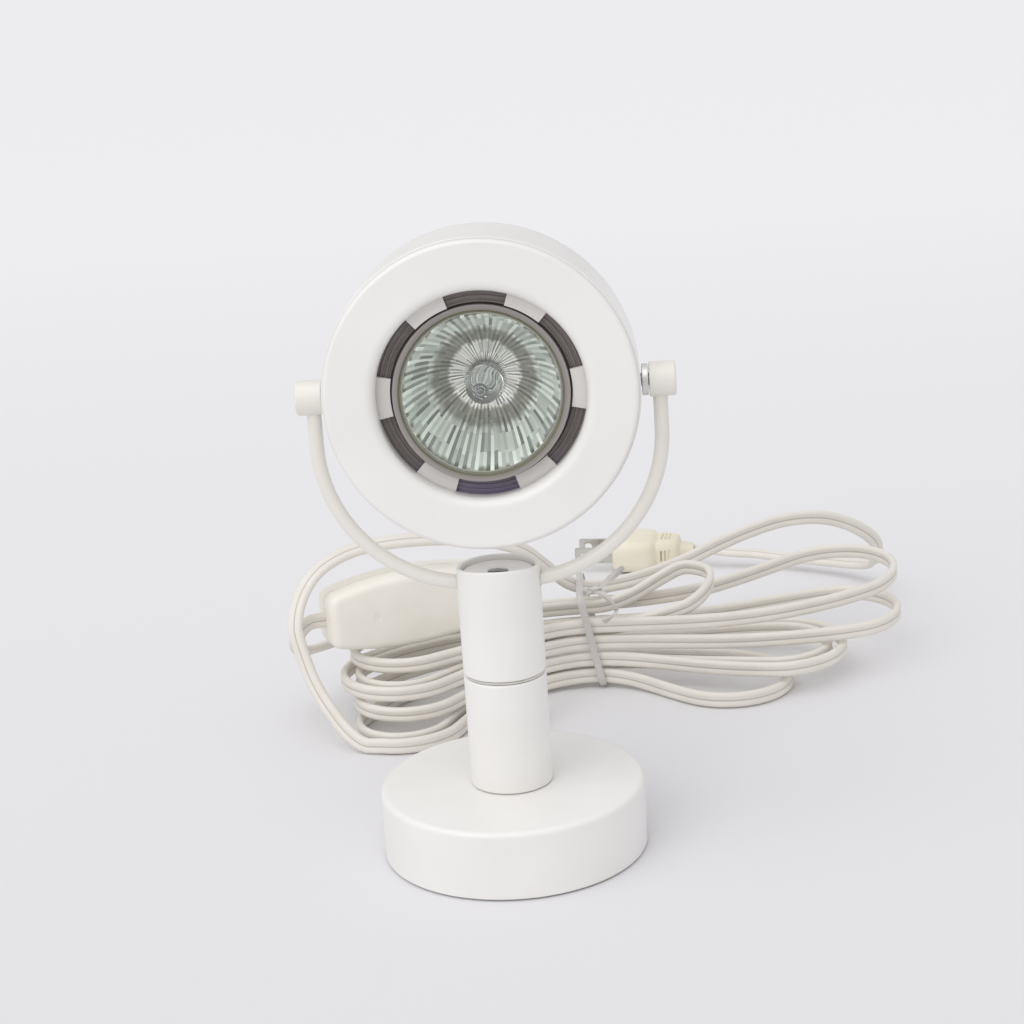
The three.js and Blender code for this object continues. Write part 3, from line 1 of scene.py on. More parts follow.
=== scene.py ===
# %% [markdown]
# # A small white spot lamp with its cord
#
# The lamp is a round base, a stem in two parts, a bent yoke and a drum-shaped head round a halogen
# reflector bulb. Behind it lies its flat cord with a switch, a hank held by a tie, and a plug.
# The solid model gives every place. This lesson dresses it: each visible piece is modelled again
# with finer curves and softer edges, and gets the finish that its real material has.
#
# Solid models are drawn in millimetres and Blender works in metres, so one helper turns a length
# in millimetres into metres, and every size below is written in millimetres.

# %% Load the solid model
import math

import bmesh
import bpy
import numpy
from mathutils import Matrix, Quaternion, Vector


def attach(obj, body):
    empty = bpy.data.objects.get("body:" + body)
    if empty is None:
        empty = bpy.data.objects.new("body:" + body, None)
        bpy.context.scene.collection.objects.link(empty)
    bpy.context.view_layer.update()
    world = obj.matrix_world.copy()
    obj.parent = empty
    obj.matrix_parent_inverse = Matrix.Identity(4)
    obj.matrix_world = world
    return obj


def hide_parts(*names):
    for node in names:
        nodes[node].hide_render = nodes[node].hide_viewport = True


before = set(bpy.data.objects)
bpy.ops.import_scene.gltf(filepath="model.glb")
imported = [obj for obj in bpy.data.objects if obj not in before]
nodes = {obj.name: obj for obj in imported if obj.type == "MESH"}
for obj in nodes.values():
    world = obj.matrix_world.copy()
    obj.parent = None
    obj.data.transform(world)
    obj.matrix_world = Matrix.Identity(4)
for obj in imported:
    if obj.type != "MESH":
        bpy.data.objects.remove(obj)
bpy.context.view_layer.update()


def mm(*values):
    metres = [value / 1000 for value in values]
    return metres[0] if len(metres) == 1 else Vector(metres)


# %% [markdown]
# ## The camera
#
# The photograph looks down a little, from the lamp's right-hand side, with a long lens. The lamp
# leans a touch in it, so the camera is rolled too. A camera looks along its own -Z, with +Y up, so
# its three axes are worked out from the azimuth, the elevation and the roll, and set as a matrix.

# %% Place the camera
CAMERA_PLACE = mm(35.949, -609.406, 280.642)
CAMERA_AZIMUTH = math.radians(2.888)
CAMERA_ELEVATION = math.radians(16.147)
CAMERA_ROLL = math.radians(3.832)
CAMERA_LENS = 77.34
CAMERA_SENSOR = 36
CAMERA_REACH = (0.01, 20)


def place_camera():
    flat = math.cos(CAMERA_ELEVATION)
    forward = Vector((
        -math.sin(CAMERA_AZIMUTH) * flat,
        math.cos(CAMERA_AZIMUTH) * flat,
        -math.sin(CAMERA_ELEVATION),
    ))
    level_right = forward.cross(Vector((0, 0, 1))).normalized()
    level_up = level_right.cross(forward)
    right = math.cos(CAMERA_ROLL) * level_right - math.sin(CAMERA_ROLL) * level_up
    up = math.sin(CAMERA_ROLL) * level_right + math.cos(CAMERA_ROLL) * level_up
    lens = bpy.data.cameras.new("camera")
    lens.lens = CAMERA_LENS
    lens.sensor_width = CAMERA_SENSOR
    lens.clip_start, lens.clip_end = CAMERA_REACH
    camera = bpy.data.objects.new("camera", lens)
    bpy.context.scene.collection.objects.link(camera)
    turn = Matrix((right, up, -forward)).transposed()
    camera.matrix_world = Matrix.Translation(CAMERA_PLACE) @ turn.to_4x4()
    bpy.context.scene.camera = camera
    return camera


camera = place_camera()
print("camera at", [round(value, 3) for value in camera.location])

# %% [markdown]
# ## Colours and the node helper
#
# Colours are picked as a screen shows them, as hex values. Blender mixes light in linear values, so
# one function turns a hex value into linear. A second function adds one shader node with its
# settings and links, and every material below is built with it.

# %% Helpers for materials
def linear(hex_colour):
    channels = [int(hex_colour[i:i + 2], 16) / 255 for i in (1, 3, 5)]
    straight = [c / 12.92 if c <= 0.04045 else ((c + 0.055) / 1.055) ** 2.4 for c in channels]
    return (*straight, 1.0)


def add_node(tree, kind, inputs=None, **settings):
    node = tree.nodes.new(kind)
    for name, value in settings.items():
        setattr(node, name, value)
    for key, value in (inputs or {}).items():
        if isinstance(value, bpy.types.NodeSocket):
            tree.links.new(value, node.inputs[key])
        else:
            node.inputs[key].default_value = value
    return node


def start_material(name, inputs=None):
    material = bpy.data.materials.new(name)
    material.use_nodes = True
    tree = material.node_tree
    tree.nodes.clear()
    shader = add_node(tree, "ShaderNodeBsdfPrincipled", inputs)
    add_node(tree, "ShaderNodeOutputMaterial", {"Surface": shader.outputs["BSDF"]})
    return material, tree, shader


def set_finish(material, *pieces):
    for piece in pieces:
        piece.data.materials.clear()
        piece.data.materials.append(material)
    print("finish", material.name, "on", len(pieces), "pieces")

# %% [markdown]
# ## The cord
#
# The cord is one flat pair of insulated cores, 5.4 mm wide and 2.7 mm thick, with a groove between
# the cores on each broad side. It leaves the gland at the back of the base, runs through the
# switch, goes round and round in the hank, and ends at the plug. Its points are the ones that the
# solid model uses. A smooth line is drawn through them and points are set along it at even steps,
# then the figure-of-eight section is carried along. A mesh tube is used and not a curve, because
# the section must turn its broad side the way that the real cord lies.

# %% Draw smooth lines through chosen points
CORD_WIDTH = 5.4
CORD_THICKNESS = 2.7
FACE_GAP = 0.3
CORD_STEP = 2.3
SWITCH_LENGTH = 61.0
SWITCH_PLACE = Vector((-39.2, 118, 38.5))
SWITCH_YAW = 25.0
PLUG_LENGTH = 33.0
PLUG_THICKNESS = 13.6
PLUG_PLACE = Vector((50, 265, 0.6))
PLUG_YAW = -8.0


def smooth_line(points, steps_each=40):
    """Draws a curve through the points, without the loops that uneven gaps would give."""
    places = [numpy.array(p, dtype=float) for p in points]
    first = 2 * places[0] - places[1]
    last = 2 * places[-1] - places[-2]
    places = [first, *places, last]
    line = []
    for before, start, end, after in zip(places, places[1:], places[2:], places[3:]):
        spans = [
            max(float(numpy.linalg.norm(b - a)) ** 0.5, 1e-6)
            for a, b in ((before, start), (start, end), (end, after))
        ]
        leave = (start - before) / spans[0] - (end - before) / (spans[0] + spans[1])
        leave = (leave + (end - start) / spans[1]) * spans[1]
        arrive = (end - start) / spans[1] - (after - start) / (spans[1] + spans[2])
        arrive = (arrive + (after - end) / spans[2]) * spans[1]
        for i in range(steps_each):
            t = i / steps_each
            bend = -3 * start + 3 * end - 2 * leave - arrive
            twist = 2 * start - 2 * end + leave + arrive
            line.append(start + leave * t + bend * t * t + twist * t**3)
    line.append(places[-2])
    return numpy.array(line)


def distances(line):
    """Gives how far along the line each of its points is."""
    gaps = numpy.linalg.norm(numpy.diff(line, axis=0), axis=1)
    return numpy.concatenate([[0], numpy.cumsum(gaps)])


def even_steps(line, step):
    along = distances(line)
    count = max(2, int(round(along[-1] / step)) + 1)
    marks = numpy.linspace(0, along[-1], count)
    return numpy.stack([numpy.interp(marks, along, line[:, k]) for k in range(3)], axis=1)


def turned_place(place, yaw, x, y, z):
    angle = math.radians(yaw)
    return [
        place[0] + x * math.cos(angle) - y * math.sin(angle),
        place[1] + x * math.sin(angle) + y * math.cos(angle),
        place[2] + z,
    ]


def square_end(place, yaw, x, side, z):
    face = x + side * FACE_GAP
    return [
        turned_place(place, yaw, face, 0, z),
        turned_place(place, yaw, face + side * CORD_WIDTH, 0, z),
    ]


# %% Draw the hank's turns
HANK_TURNS = 5.8
HANK_STEPS = 1500
HANK_WAVE = 3
HANK_CLIMBS = (1.25, 2.75, 4.25)
HANK_CLIMB_SHARE = 0.12
HANK_WAIST_X = 24.0
HANK_MIDDLE_Y = 140.0
HANK_FLOOR = 3.0
HANK_LAYER = 6.2
HANK_PITCH = 5.2
HANK_WAIST_SQUEEZE = 0.24
HANK_TIE_LIFT = 1.6
HANK_WAIST_HALF_WIDTH = 13.5
HANK_LEFT = ((84, 76, 74, 70), (-70, -57, -48, -34), (0, 0, 0, 0), 22)
HANK_RIGHT = ((52, 66, 90, 92), (-38, -10, 12, 30), (0, 1, 2, 7), 25)
CURL_TURN = 4.5
CURL_RUN = 32
CURL_HEADING = 14
CURL_RADIUS = 18.5
CURL_RISE = 13
CURL_RISE_SHARE = 0.55
CURL_FALL_START = 0.65


def ease(t):
    t = min(max(t, 0.0), 1.0)
    return t * t * (3 - 2 * t)


def hank_point(turn):
    quarter = (2 + 4 * turn) % 4
    right = quarter < 1 or quarter > 3
    backwards = 1 if quarter < 2 else -1
    way = 2 * abs(1 - quarter % 2)
    layer = sum(climb < turn for climb in HANK_CLIMBS)
    height = sum(ease((turn - climb) / HANK_CLIMB_SHARE / 2 + 0.5) for climb in HANK_CLIMBS)
    runs, headings, lifts, side_radius = HANK_RIGHT if right else HANK_LEFT
    length, heading, lift = runs[layer], headings[layer], lifts[layer]
    curl = abs(turn - CURL_TURN) < 0.25
    if curl:
        length, heading, lift, side_radius = CURL_RUN, CURL_HEADING, 0, CURL_RADIUS
    wave = (turn - HANK_CLIMBS[0] + HANK_WAVE / 2) % HANK_WAVE
    inset = HANK_WAVE / 2 - abs(wave - HANK_WAVE / 2)
    radius = side_radius - HANK_PITCH * inset
    share = min(way, 1.0)
    heading = math.radians(heading)
    facing = heading * share
    bend = max(way - 1, 0.0) * math.pi / 2
    waist = HANK_WAIST_HALF_WIDTH - HANK_PITCH * (1 - HANK_WAIST_SQUEEZE) * inset
    wide = waist + (radius - waist) * ease(share)
    across = backwards * wide * math.cos(bend)
    ahead = radius * math.sin(bend)
    run = length / heading
    x = run * math.sin(facing) + ahead * math.cos(facing) - across * math.sin(facing)
    y = run * (1 - math.cos(facing)) + ahead * math.sin(facing) + across * math.cos(facing)
    out = (length * share + ahead) / (length + radius)
    raised = HANK_TIE_LIFT * (1 - ease(2 * out)) + out * out * lift
    if curl:
        gone = 2 * (turn - CURL_TURN) + 0.5
        fallen = ease((gone - CURL_FALL_START) / (1 - CURL_FALL_START))
        raised += CURL_RISE * ease(gone / CURL_RISE_SHARE) * (1 - fallen)
    return [
        HANK_WAIST_X + (x if right else -x),
        HANK_MIDDLE_Y + y,
        HANK_FLOOR + HANK_LAYER * height + raised,
    ]


hank = numpy.array([hank_point(HANK_TURNS * i / HANK_STEPS) for i in range(HANK_STEPS + 1)])
print("hank:", round(distances(hank)[-1]), "mm long")

# %% Draw the free stretches
LEAD_POINTS = [
    [0, 63.3, 7.2], [0, 68.7, 7.2],
    [0, 76, 6.2], [1.4, 85, 5], [2.6, 94, 6], [3.6, 101, 11], [4.4, 107, 19.5], [4.8, 113, 28.5],
    [4.6, 119.6, 34.8], [3.6, 126.6, 38.2], [0.8, 132.2, 39.2], [-3.4, 133.9, 38.9],
]
LOOP_POINTS = [
    [-76, 102.2, 35], [-77.4, 105.4, 29], [-75.8, 113.6, 24.6], [-68, 128, 22],
    [-54, 144.2, 21.6],
]
TAIL_POINTS = [
    [-59, 79.8, 6.4], [-66, 85, 14.4], [-70.8, 89, 22.4],
    [-73.8, 91.8, 31], [-75.6, 93.6, 40],
    [-73.6, 98, 49], [-68, 104, 56.2], [-58, 110.8, 60.4], [-45, 115.4, 61.8],
    [-31, 118.4, 61.6], [-16, 121, 60], [-5, 124, 56.8], [2.4, 128, 52.4],
    [7.4, 132.8, 46.6], [12, 138.2, 40.4], [17, 143.8, 34.6], [23.6, 148.8, 31],
    [32, 154.8, 29.6], [44, 163, 29.4], [58, 171.6, 31.2],
    [72, 181, 34.4], [84, 186.2, 37.4],
    [98, 191.4, 39.6], [113, 196.4, 38.4], [126, 202.8, 32.2], [134.4, 209.8, 23.6],
    [135.6, 217.4, 14.4], [134, 227.4, 8.8], [127, 237.4, 6.2], [116, 245.6, 5.4],
    [104, 252, 5.4], [91, 257.4, 6], [80, 259.6, 6.6],
]


def beyond(line, end):
    point, inner = (line[0], line[4]) if end == 0 else (line[-1], line[-5])
    way = (point - inner) / numpy.linalg.norm(point - inner)
    return [list(point + FACE_GAP * way), list(point + (FACE_GAP + CORD_WIDTH) * way)]


switch_right = square_end(SWITCH_PLACE, SWITCH_YAW, SWITCH_LENGTH / 2, 1, 0)
switch_left = square_end(SWITCH_PLACE, SWITCH_YAW, -SWITCH_LENGTH / 2, -1, 0)
plug_end = square_end(PLUG_PLACE, PLUG_YAW, PLUG_LENGTH / 2, 1, PLUG_THICKNESS / 2)
lead = smooth_line(LEAD_POINTS + switch_right[::-1])
loop = smooth_line(switch_left + LOOP_POINTS + beyond(hank, 1)[::-1])
tail = smooth_line(beyond(hank, 0) + TAIL_POINTS + plug_end[::-1])
print("lead, loop and tail:", [round(distances(line)[-1]) for line in (lead, loop, tail)], "mm")

# %% [markdown]
# A flat cord lies by its section, so each point of the line also gets the way its broad side faces.
# In the hank the broad side stands upright. In the free stretches it starts upright and is carried
# along with the bends, and the small twist left over at the far end is shared out along the way.

# %% Turn the broad side along the line
UPRIGHT = numpy.array([0.0, 0, 1])


def square_to(way, tangent):
    flat = way - tangent * float(way @ tangent)
    return flat / numpy.linalg.norm(flat)


def tangents_of(line):
    ways = numpy.gradient(line, axis=0)
    return ways / numpy.linalg.norm(ways, axis=1)[:, None]


def broad_sides(line, end_broad=None):
    """Gives the way that the broad side faces: upright, or carried along to a wanted end."""
    tangents = tangents_of(line)
    if end_broad is None:
        return numpy.array([square_to(UPRIGHT, tangent) for tangent in tangents])
    broad = square_to(UPRIGHT, tangents[0])
    carried = [broad]
    for before, after in zip(tangents, tangents[1:]):
        turn = Vector(before).rotation_difference(Vector(after))
        broad = square_to(numpy.array(turn @ Vector(broad)), after)
        carried.append(broad)
    wanted = square_to(end_broad, tangents[-1])
    twist = math.atan2(float(numpy.cross(carried[-1], wanted) @ tangents[-1]),
                       float(carried[-1] @ wanted))
    if abs(twist) > math.pi / 2:
        twist -= math.copysign(math.pi, twist)
    return numpy.array([
        numpy.array(Quaternion(Vector(tangent), twist * i / (len(line) - 1)) @ Vector(side))
        for i, (side, tangent) in enumerate(zip(carried, tangents))
    ])


def straight_between(start, end):
    return even_steps(numpy.array([start, end]), CORD_STEP)[1:-1]


plug_level = numpy.array(turned_place((0, 0, 0), PLUG_YAW, 0, 1, 0))
lead, loop, hank, tail = [even_steps(line, CORD_STEP) for line in (lead, loop, hank, tail)]
hank = hank[::-1]
inside_switch = straight_between(lead[-1], loop[0])
stretches = [
    (lead, broad_sides(lead, UPRIGHT)),
    (inside_switch, broad_sides(inside_switch)),
    (loop, broad_sides(loop, UPRIGHT)),
    (hank, broad_sides(hank)),
    (tail, broad_sides(tail, plug_level)),
]
cord_line = numpy.concatenate([line for line, _ in stretches])
cord_broads = stretches[0][1]
for line, sides in stretches[1:]:
    sign = 1 if cord_broads[-1] @ sides[0] > 0 else -1
    cord_broads = numpy.concatenate([cord_broads, sign * sides])

# %% [markdown]
# The section is two round cores side by side with a web between them. Nine points go round the
# outside of each core, and one point at the bottom of each groove joins them. The tube keeps its
# place along the cord and its place round the section in its UV map, so that the finish can paint
# shade into the groove and mottle the plastic along the cord.

# %% Carry the section along the line
CORE_RADIUS = CORD_THICKNESS / 2
CORE_POINTS = 9
CORE_OPENING = 128.0
WEB_HALF = 0.9


def cord_section():
    """Gives the section as a list of places (across, through) in millimetres."""
    section = []
    for side in (1, -1):
        for i in range(CORE_POINTS):
            angle = math.radians(CORE_OPENING * (2 * i / (CORE_POINTS - 1) - 1))
            across = side * (CORE_RADIUS + CORE_RADIUS * math.cos(angle))
            section.append((across, side * CORE_RADIUS * math.sin(angle)))
        section.append((0.0, side * WEB_HALF))
    return section


def section_tube(name, line, broads, section):
    """Carries a section along a line, its first direction along the given broad sides."""
    tangents = tangents_of(line)
    thins = numpy.cross(tangents, broads)
    count = len(section)
    across, thick = numpy.array(section).T
    points = (line[:, None, :] + broads[:, None, :] * across[None, :, None]
              + thins[:, None, :] * thick[None, :, None]) / 1000
    faces = []
    for i in range(len(line) - 1):
        for k in range(count):
            after = (k + 1) % count
            faces.append((i * count + k, i * count + after,
                          (i + 1) * count + after, (i + 1) * count + k))
    last = (len(line) - 1) * count
    faces.append(tuple(range(count))[::-1])
    faces.append(tuple(last + k for k in range(count)))
    mesh = bpy.data.meshes.new(name)
    mesh.from_pydata(points.reshape(-1, 3).tolist(), [], faces)
    mesh.polygons.foreach_set("use_smooth", [True] * len(faces))
    along = distances(line) / 1000
    layer = mesh.uv_layers.new(name="along_and_round")
    flat = []
    for i in range(len(line) - 1):
        for k in range(count):
            flat += [along[i], k / count, along[i], (k + 1) / count]
            flat += [along[i + 1], (k + 1) / count, along[i + 1], k / count]
    flat += [0.0, 0.0] * (2 * count)
    layer.data.foreach_set("uv", flat)
    tube = bpy.data.objects.new(name, mesh)
    bpy.context.scene.collection.objects.link(tube)
    return tube


power_cord = section_tube("power_cord", cord_line, cord_broads, cord_section())
print("power_cord:", len(power_cord.data.polygons), "faces")

# %% [markdown]
# ## Turned pieces
#
# Most of the lamp is turned or drawn from sheet: each piece is a profile carried round an axis. By
# hand, that is a circle added at the first radius, then extruded and scaled again and again along
# the profile. One helper does those steps for all such pieces. The circle is added across the
# piece's axis, every extrude moves the new ring along the axis, and every scale is about the axis.
#
# A second helper rounds the corners of a profile. It also adds a ring close beside each rounded
# edge, so that smooth shading stays on the edge and the flat faces stay flat.

# %% Helpers for turned pieces
AXIS_TURNS = {"X": (0, math.pi / 2, 0), "Y": (-math.pi / 2, 0, 0), "Z": (0, 0, 0)}
AXIS_WAYS = {"X": Vector((1, 0, 0)), "Y": Vector((0, 1, 0)), "Z": Vector((0, 0, 1))}
HOLDING = 0.25
POLE_RADIUS = 0.001
MERGE = 0.000004


def select_none():
    if bpy.context.object and bpy.context.object.mode == "EDIT":
        bpy.ops.object.mode_set(mode="OBJECT")
    bpy.ops.object.select_all(action="DESELECT")


def make_active(piece):
    select_none()
    piece.select_set(True)
    bpy.context.view_layer.objects.active = piece


def edit(piece):
    make_active(piece)
    bpy.ops.object.mode_set(mode="EDIT")


def take_whole(kind):
    bpy.ops.mesh.select_mode(type=kind)
    bpy.ops.mesh.select_all(action="SELECT")


def face_outwards():
    bpy.ops.mesh.select_all(action="SELECT")
    bpy.ops.mesh.normals_make_consistent(inside=False)


def name_new(name):
    """Names the object that was just added."""
    piece = bpy.context.object
    piece.name = piece.data.name = name
    return piece


def apply_place():
    bpy.ops.object.transform_apply(location=True, rotation=True, scale=True)


def settle(piece, angle=40):
    """Puts the object at the origin with its place in its mesh, and shades it smooth."""
    make_active(piece)
    apply_place()
    bpy.ops.object.shade_smooth_by_angle(angle=math.radians(angle))
    select_none()


def softened(corners, segments=4):
    """Rounds each corner (radius, height, rounding) of a profile, and holds it with extra rings."""
    profile = []
    for i, (r, z, rounding) in enumerate(corners):
        if rounding == 0 or i in (0, len(corners) - 1):
            profile.append((r, z))
            continue
        here = Vector((r, z))
        back = Vector(corners[i - 1][:2]) - here
        on = Vector(corners[i + 1][:2]) - here
        turn = math.pi - back.angle(on)
        reach = rounding * math.tan(turn / 2)
        centre = here + (back.normalized() + on.normalized()).normalized() * (
            rounding / math.cos(turn / 2))
        start = here + back.normalized() * reach
        end = here + on.normalized() * reach
        if back.length > reach + 3 * HOLDING:
            profile.append(tuple(start + back.normalized() * HOLDING))
        sweep = (start - centre).angle_signed(end - centre)
        for k in range(segments + 1):
            spoke = start - centre
            angle = -sweep * k / segments
            profile.append((
                centre.x + spoke.x * math.cos(angle) - spoke.y * math.sin(angle),
                centre.y + spoke.x * math.sin(angle) + spoke.y * math.cos(angle),
            ))
        if on.length > reach + 3 * HOLDING:
            profile.append(tuple(end + on.normalized() * HOLDING))
    return profile


def turn_piece(name, profile, centre=(0, 0, 0), axis="Z", sides=96, closed=False, angle=40):
    """Turns a profile of (radius, height) points about an axis through centre, in millimetres."""
    select_none()
    way = AXIS_WAYS[axis]
    middle = Vector(centre)
    profile = [(max(r, POLE_RADIUS), z) for r, z in profile]
    last_r, last_z = profile[0]
    bpy.ops.mesh.primitive_circle_add(
        vertices=sides, radius=mm(last_r), fill_type="NOTHING" if closed else "NGON",
        location=mm(*(middle + way * last_z)), rotation=AXIS_TURNS[axis])
    piece = name_new(name)
    bpy.ops.object.mode_set(mode="EDIT")
    take_whole("EDGE")
    for r, z in profile[1:]:
        step = way * mm(z - last_z)
        bpy.ops.mesh.extrude_edges_move(TRANSFORM_OT_translate={"value": step})
        if r != last_r:
            size = r / last_r
            bpy.ops.transform.resize(value=(size, size, size),
                                     center_override=mm(*(middle + way * z)))
        last_r, last_z = r, z
    if not closed:
        bpy.ops.mesh.edge_face_add()
    bpy.ops.mesh.select_all(action="SELECT")
    bpy.ops.mesh.remove_doubles(threshold=MERGE)
    bpy.ops.mesh.delete_loose(use_verts=True, use_edges=True, use_faces=False)
    face_outwards()
    settle(piece, angle)
    return piece


def report(*pieces):
    for piece in pieces:
        size = [round(value * 1000, 1) for value in piece.dimensions]
        print(f"{piece.name}: {len(piece.data.polygons)} faces, {size} mm")

# %% [markdown]
# ## The base and the stem
#
# The base is a cup spun from sheet, open underneath, with a rounded top edge. Its wall is drawn as
# a closed profile, so that it has a real thickness. The stem is two lengths of tube. The upper one
# turns on a washer, which is the narrow light ring between them, and it is an open cup at the top.

# %% Model the base cover
BASE_RADIUS = 39.5
BASE_HEIGHT = 21.0
STEM_RADIUS = 12.25

base_cover = turn_piece("base_shell", softened([
    (38.1, 0.6, 0), (BASE_RADIUS, 0.6, 0.2), (BASE_RADIUS, BASE_HEIGHT, 1.5),
    (5.2, BASE_HEIGHT, 0.2), (5.2, 19.6, 0), (38.1, 19.6, 0.6), (38.1, 0.6, 0),
]), sides=160, closed=True)
report(base_cover)

# %% Model the stem
stem_lower = turn_piece("stem_tube_lower", softened([
    (11.0, 21.3, 0), (STEM_RADIUS, 21.3, 0.2), (STEM_RADIUS, 55.1, 0.6),
    (5.2, 55.1, 0.2), (5.2, 53.3, 0), (11.0, 53.3, 0.3), (11.0, 21.3, 0),
]), closed=True)
swivel_washer = turn_piece("swivel_ring", softened([
    (5.3, 55.3, 0), (11.8, 55.3, 0.1), (11.8, 55.95, 0.1), (5.3, 55.95, 0.1), (5.3, 55.3, 0),
], 2), closed=True)
stem_upper = turn_piece("stem_tube_upper", softened([
    (5.2, 56.1, 0), (STEM_RADIUS, 56.1, 0.6), (STEM_RADIUS, 88.0, 0.45),
    (10.9, 88.0, 0.35), (10.9, 58.3, 0.3), (5.2, 58.3, 0), (5.2, 56.1, 0),
]), closed=True)
yoke_clamp = turn_piece("clamp_insert", softened([
    (0, 70.0, 0), (10.6, 70.0, 0.3), (10.6, 86.6, 0.35), (3.1, 86.6, 0.2), (3.1, 84.8, 0.1),
    (0, 84.8, 0),
]))
yoke_screw = turn_piece("clamp_screw_head", softened([
    (0, 85.0, 0), (2.8, 85.0, 0.1), (2.8, 86.2, 0.25), (0, 86.2, 0),
]), sides=48)
cord_gland = turn_piece("cord_relief", softened([
    (0, 39.8, 0), (4.4, 39.8, 0.1), (4.4, 42.0, 0.4), (3.9, 42.2, 0.2), (3.1, 63.0, 0.5),
    (0, 63.0, 0),
]), centre=(0, 0, 7.2), axis="Y", sides=64)
report(stem_lower, swivel_washer, stem_upper, yoke_clamp, yoke_screw, cord_gland)

# %% [markdown]
# ## The yoke
#
# The yoke is one round rod bent on three radii: a shallow bow through the stem, and a tighter bend
# up each side. A curve with a round bevel follows that line exactly, and is then made a mesh.

# %% Bend the yoke
YOKE_ROD_RADIUS = 2.1
PIVOT_HEIGHT = 141.0
BOW_CENTRE = 152.6
BOW_RADIUS = 70.0
SIDE_RADIUS = 43.0
SIDE_CENTRE = (6.5, 126.394)
LEG_TOP = 138.2


def yoke_points():
    meet = math.asin(SIDE_CENTRE[0] / (BOW_RADIUS - SIDE_RADIUS))
    half = []
    for i in range(13):
        angle = meet * i / 12
        half.append((BOW_RADIUS * math.sin(angle), BOW_CENTRE - BOW_RADIUS * math.cos(angle)))
    for i in range(1, 41):
        angle = meet + (math.pi / 2 - meet) * i / 40
        half.append((SIDE_CENTRE[0] + SIDE_RADIUS * math.sin(angle),
                     SIDE_CENTRE[1] - SIDE_RADIUS * math.cos(angle)))
    half.append((SIDE_CENTRE[0] + SIDE_RADIUS, LEG_TOP))
    return [(-x, z) for x, z in half[:0:-1]] + half


def bend_rod(name, points, radius):
    select_none()
    bpy.ops.curve.primitive_nurbs_path_add()
    rod = name_new(name)
    line = rod.data
    line.splines.clear()
    spline = line.splines.new("POLY")
    spline.points.add(len(points) - 1)
    for point, place in zip(spline.points, points):
        point.co = (*mm(*place), 1)
    line.dimensions = "3D"
    line.twist_mode = "MINIMUM"
    line.bevel_depth = mm(radius)
    line.bevel_resolution = 6
    line.use_fill_caps = True
    rod.location = (0, 0, 0)
    bpy.ops.object.convert(target="MESH")
    rod = name_new(name)
    bpy.ops.object.mode_set(mode="EDIT")
    bpy.ops.mesh.select_all(action="SELECT")
    bpy.ops.mesh.remove_doubles(threshold=MERGE)
    bpy.ops.mesh.normals_make_consistent(inside=False)
    settle(rod)
    return rod


yoke = bend_rod("yoke_rod", [(x, 0, z) for x, z in yoke_points()], YOKE_ROD_RADIUS)
report(yoke)

# %% [markdown]
# A short round knob hides each pivot. It is turned once, at the right, and copied to the left with
# its own mesh. On the right a plated collar keeps the head clear of the knob.

# %% Model the knobs and the collar
def copy_of(piece, name):
    copy = piece.copy()
    copy.data = piece.data.copy()
    copy.name = copy.data.name = name
    bpy.context.scene.collection.objects.link(copy)
    return copy


knob_right = turn_piece("knob_cap_right", softened([
    (0, 46.5, 0), (5, 46.5, 0.3), (5, 54.1, 0.7), (0, 54.1, 0),
]), centre=(0, 0, PIVOT_HEIGHT), axis="X", sides=64)
knob_left = copy_of(knob_right, "knob_cap_left")
knob_left.scale.x = -1
make_active(knob_left)
bpy.ops.object.transform_apply(location=False, rotation=False, scale=True)
edit(knob_left)
face_outwards()
select_none()
spacer_right = turn_piece("pivot_collar", softened([
    (2.1, 44.45, 0), (4.5, 44.45, 0.15), (4.5, 46.2, 0.15), (2.1, 46.2, 0.1), (2.1, 44.45, 0),
], 2), centre=(0, 0, PIVOT_HEIGHT), axis="X", sides=64, closed=True)
report(knob_right, knob_left, spacer_right)

# %% [markdown]
# ## The head
#
# The head is a drum with a domed back, about 90 mm across. Its shell and its flat front are two
# pressings, and a fine seam runs round between them. The front rolls inwards to a round mouth, and
# behind the mouth a ring with six tabs holds the bulb.

# %% Turn the shell and the front
HEAD_CENTRE = (-0.9, 0, PIVOT_HEIGHT)
HEAD_RADIUS = 45.0
HEAD_FRONT = -11.5
DOME_START = 13.0
DOME_REACH = 37.5
DOME_FLAT = 36.5
SHELL_START = -9.6
SHELL_WALL = 1.3
TAB_COUNT = 6
TAB_HALF_ANGLE = 12
TAB_REACH = 25.8
RING_INSIDE = 29.9


def turn_in_head(name, profile, **settings):
    """Turns a profile about the head's axis."""
    return turn_piece(name, profile, centre=HEAD_CENTRE, axis="Y", **settings)


def about_head(place):
    """Gives a place's distance from the head's axis in millimetres, and its angle in degrees."""
    across = place - mm(*HEAD_CENTRE)
    return math.hypot(across.x, across.z) * 1000, math.degrees(math.atan2(across.z, across.x))


def scale_in_head(size):
    bpy.ops.transform.resize(value=(size, 1, size), center_override=mm(*HEAD_CENTRE))


def dome(inset, steps=28):
    last = math.asin(DOME_FLAT / DOME_REACH)
    points = []
    for i in range(steps + 1):
        angle = last * i / steps
        points.append(((HEAD_RADIUS - inset) * math.cos(angle),
                       DOME_START + (DOME_REACH - inset) * math.sin(angle)))
    return points


shell_profile = (
    dome(SHELL_WALL)[::-1]
    + [(43.7, SHELL_START), (44.7, SHELL_START), (44.91, SHELL_START + 0.09),
       (HEAD_RADIUS, SHELL_START + 0.3), (HEAD_RADIUS, SHELL_START + 0.6), (HEAD_RADIUS, 6)]
    + dome(0)
)
head_shell = turn_in_head("drum_shell", shell_profile, sides=160)


def rolled_lip(radius, steps=8):
    return [(32.8 - radius * math.sin(math.pi / 2 * i / steps),
             -8.5 - radius * math.cos(math.pi / 2 * i / steps)) for i in range(steps + 1)]


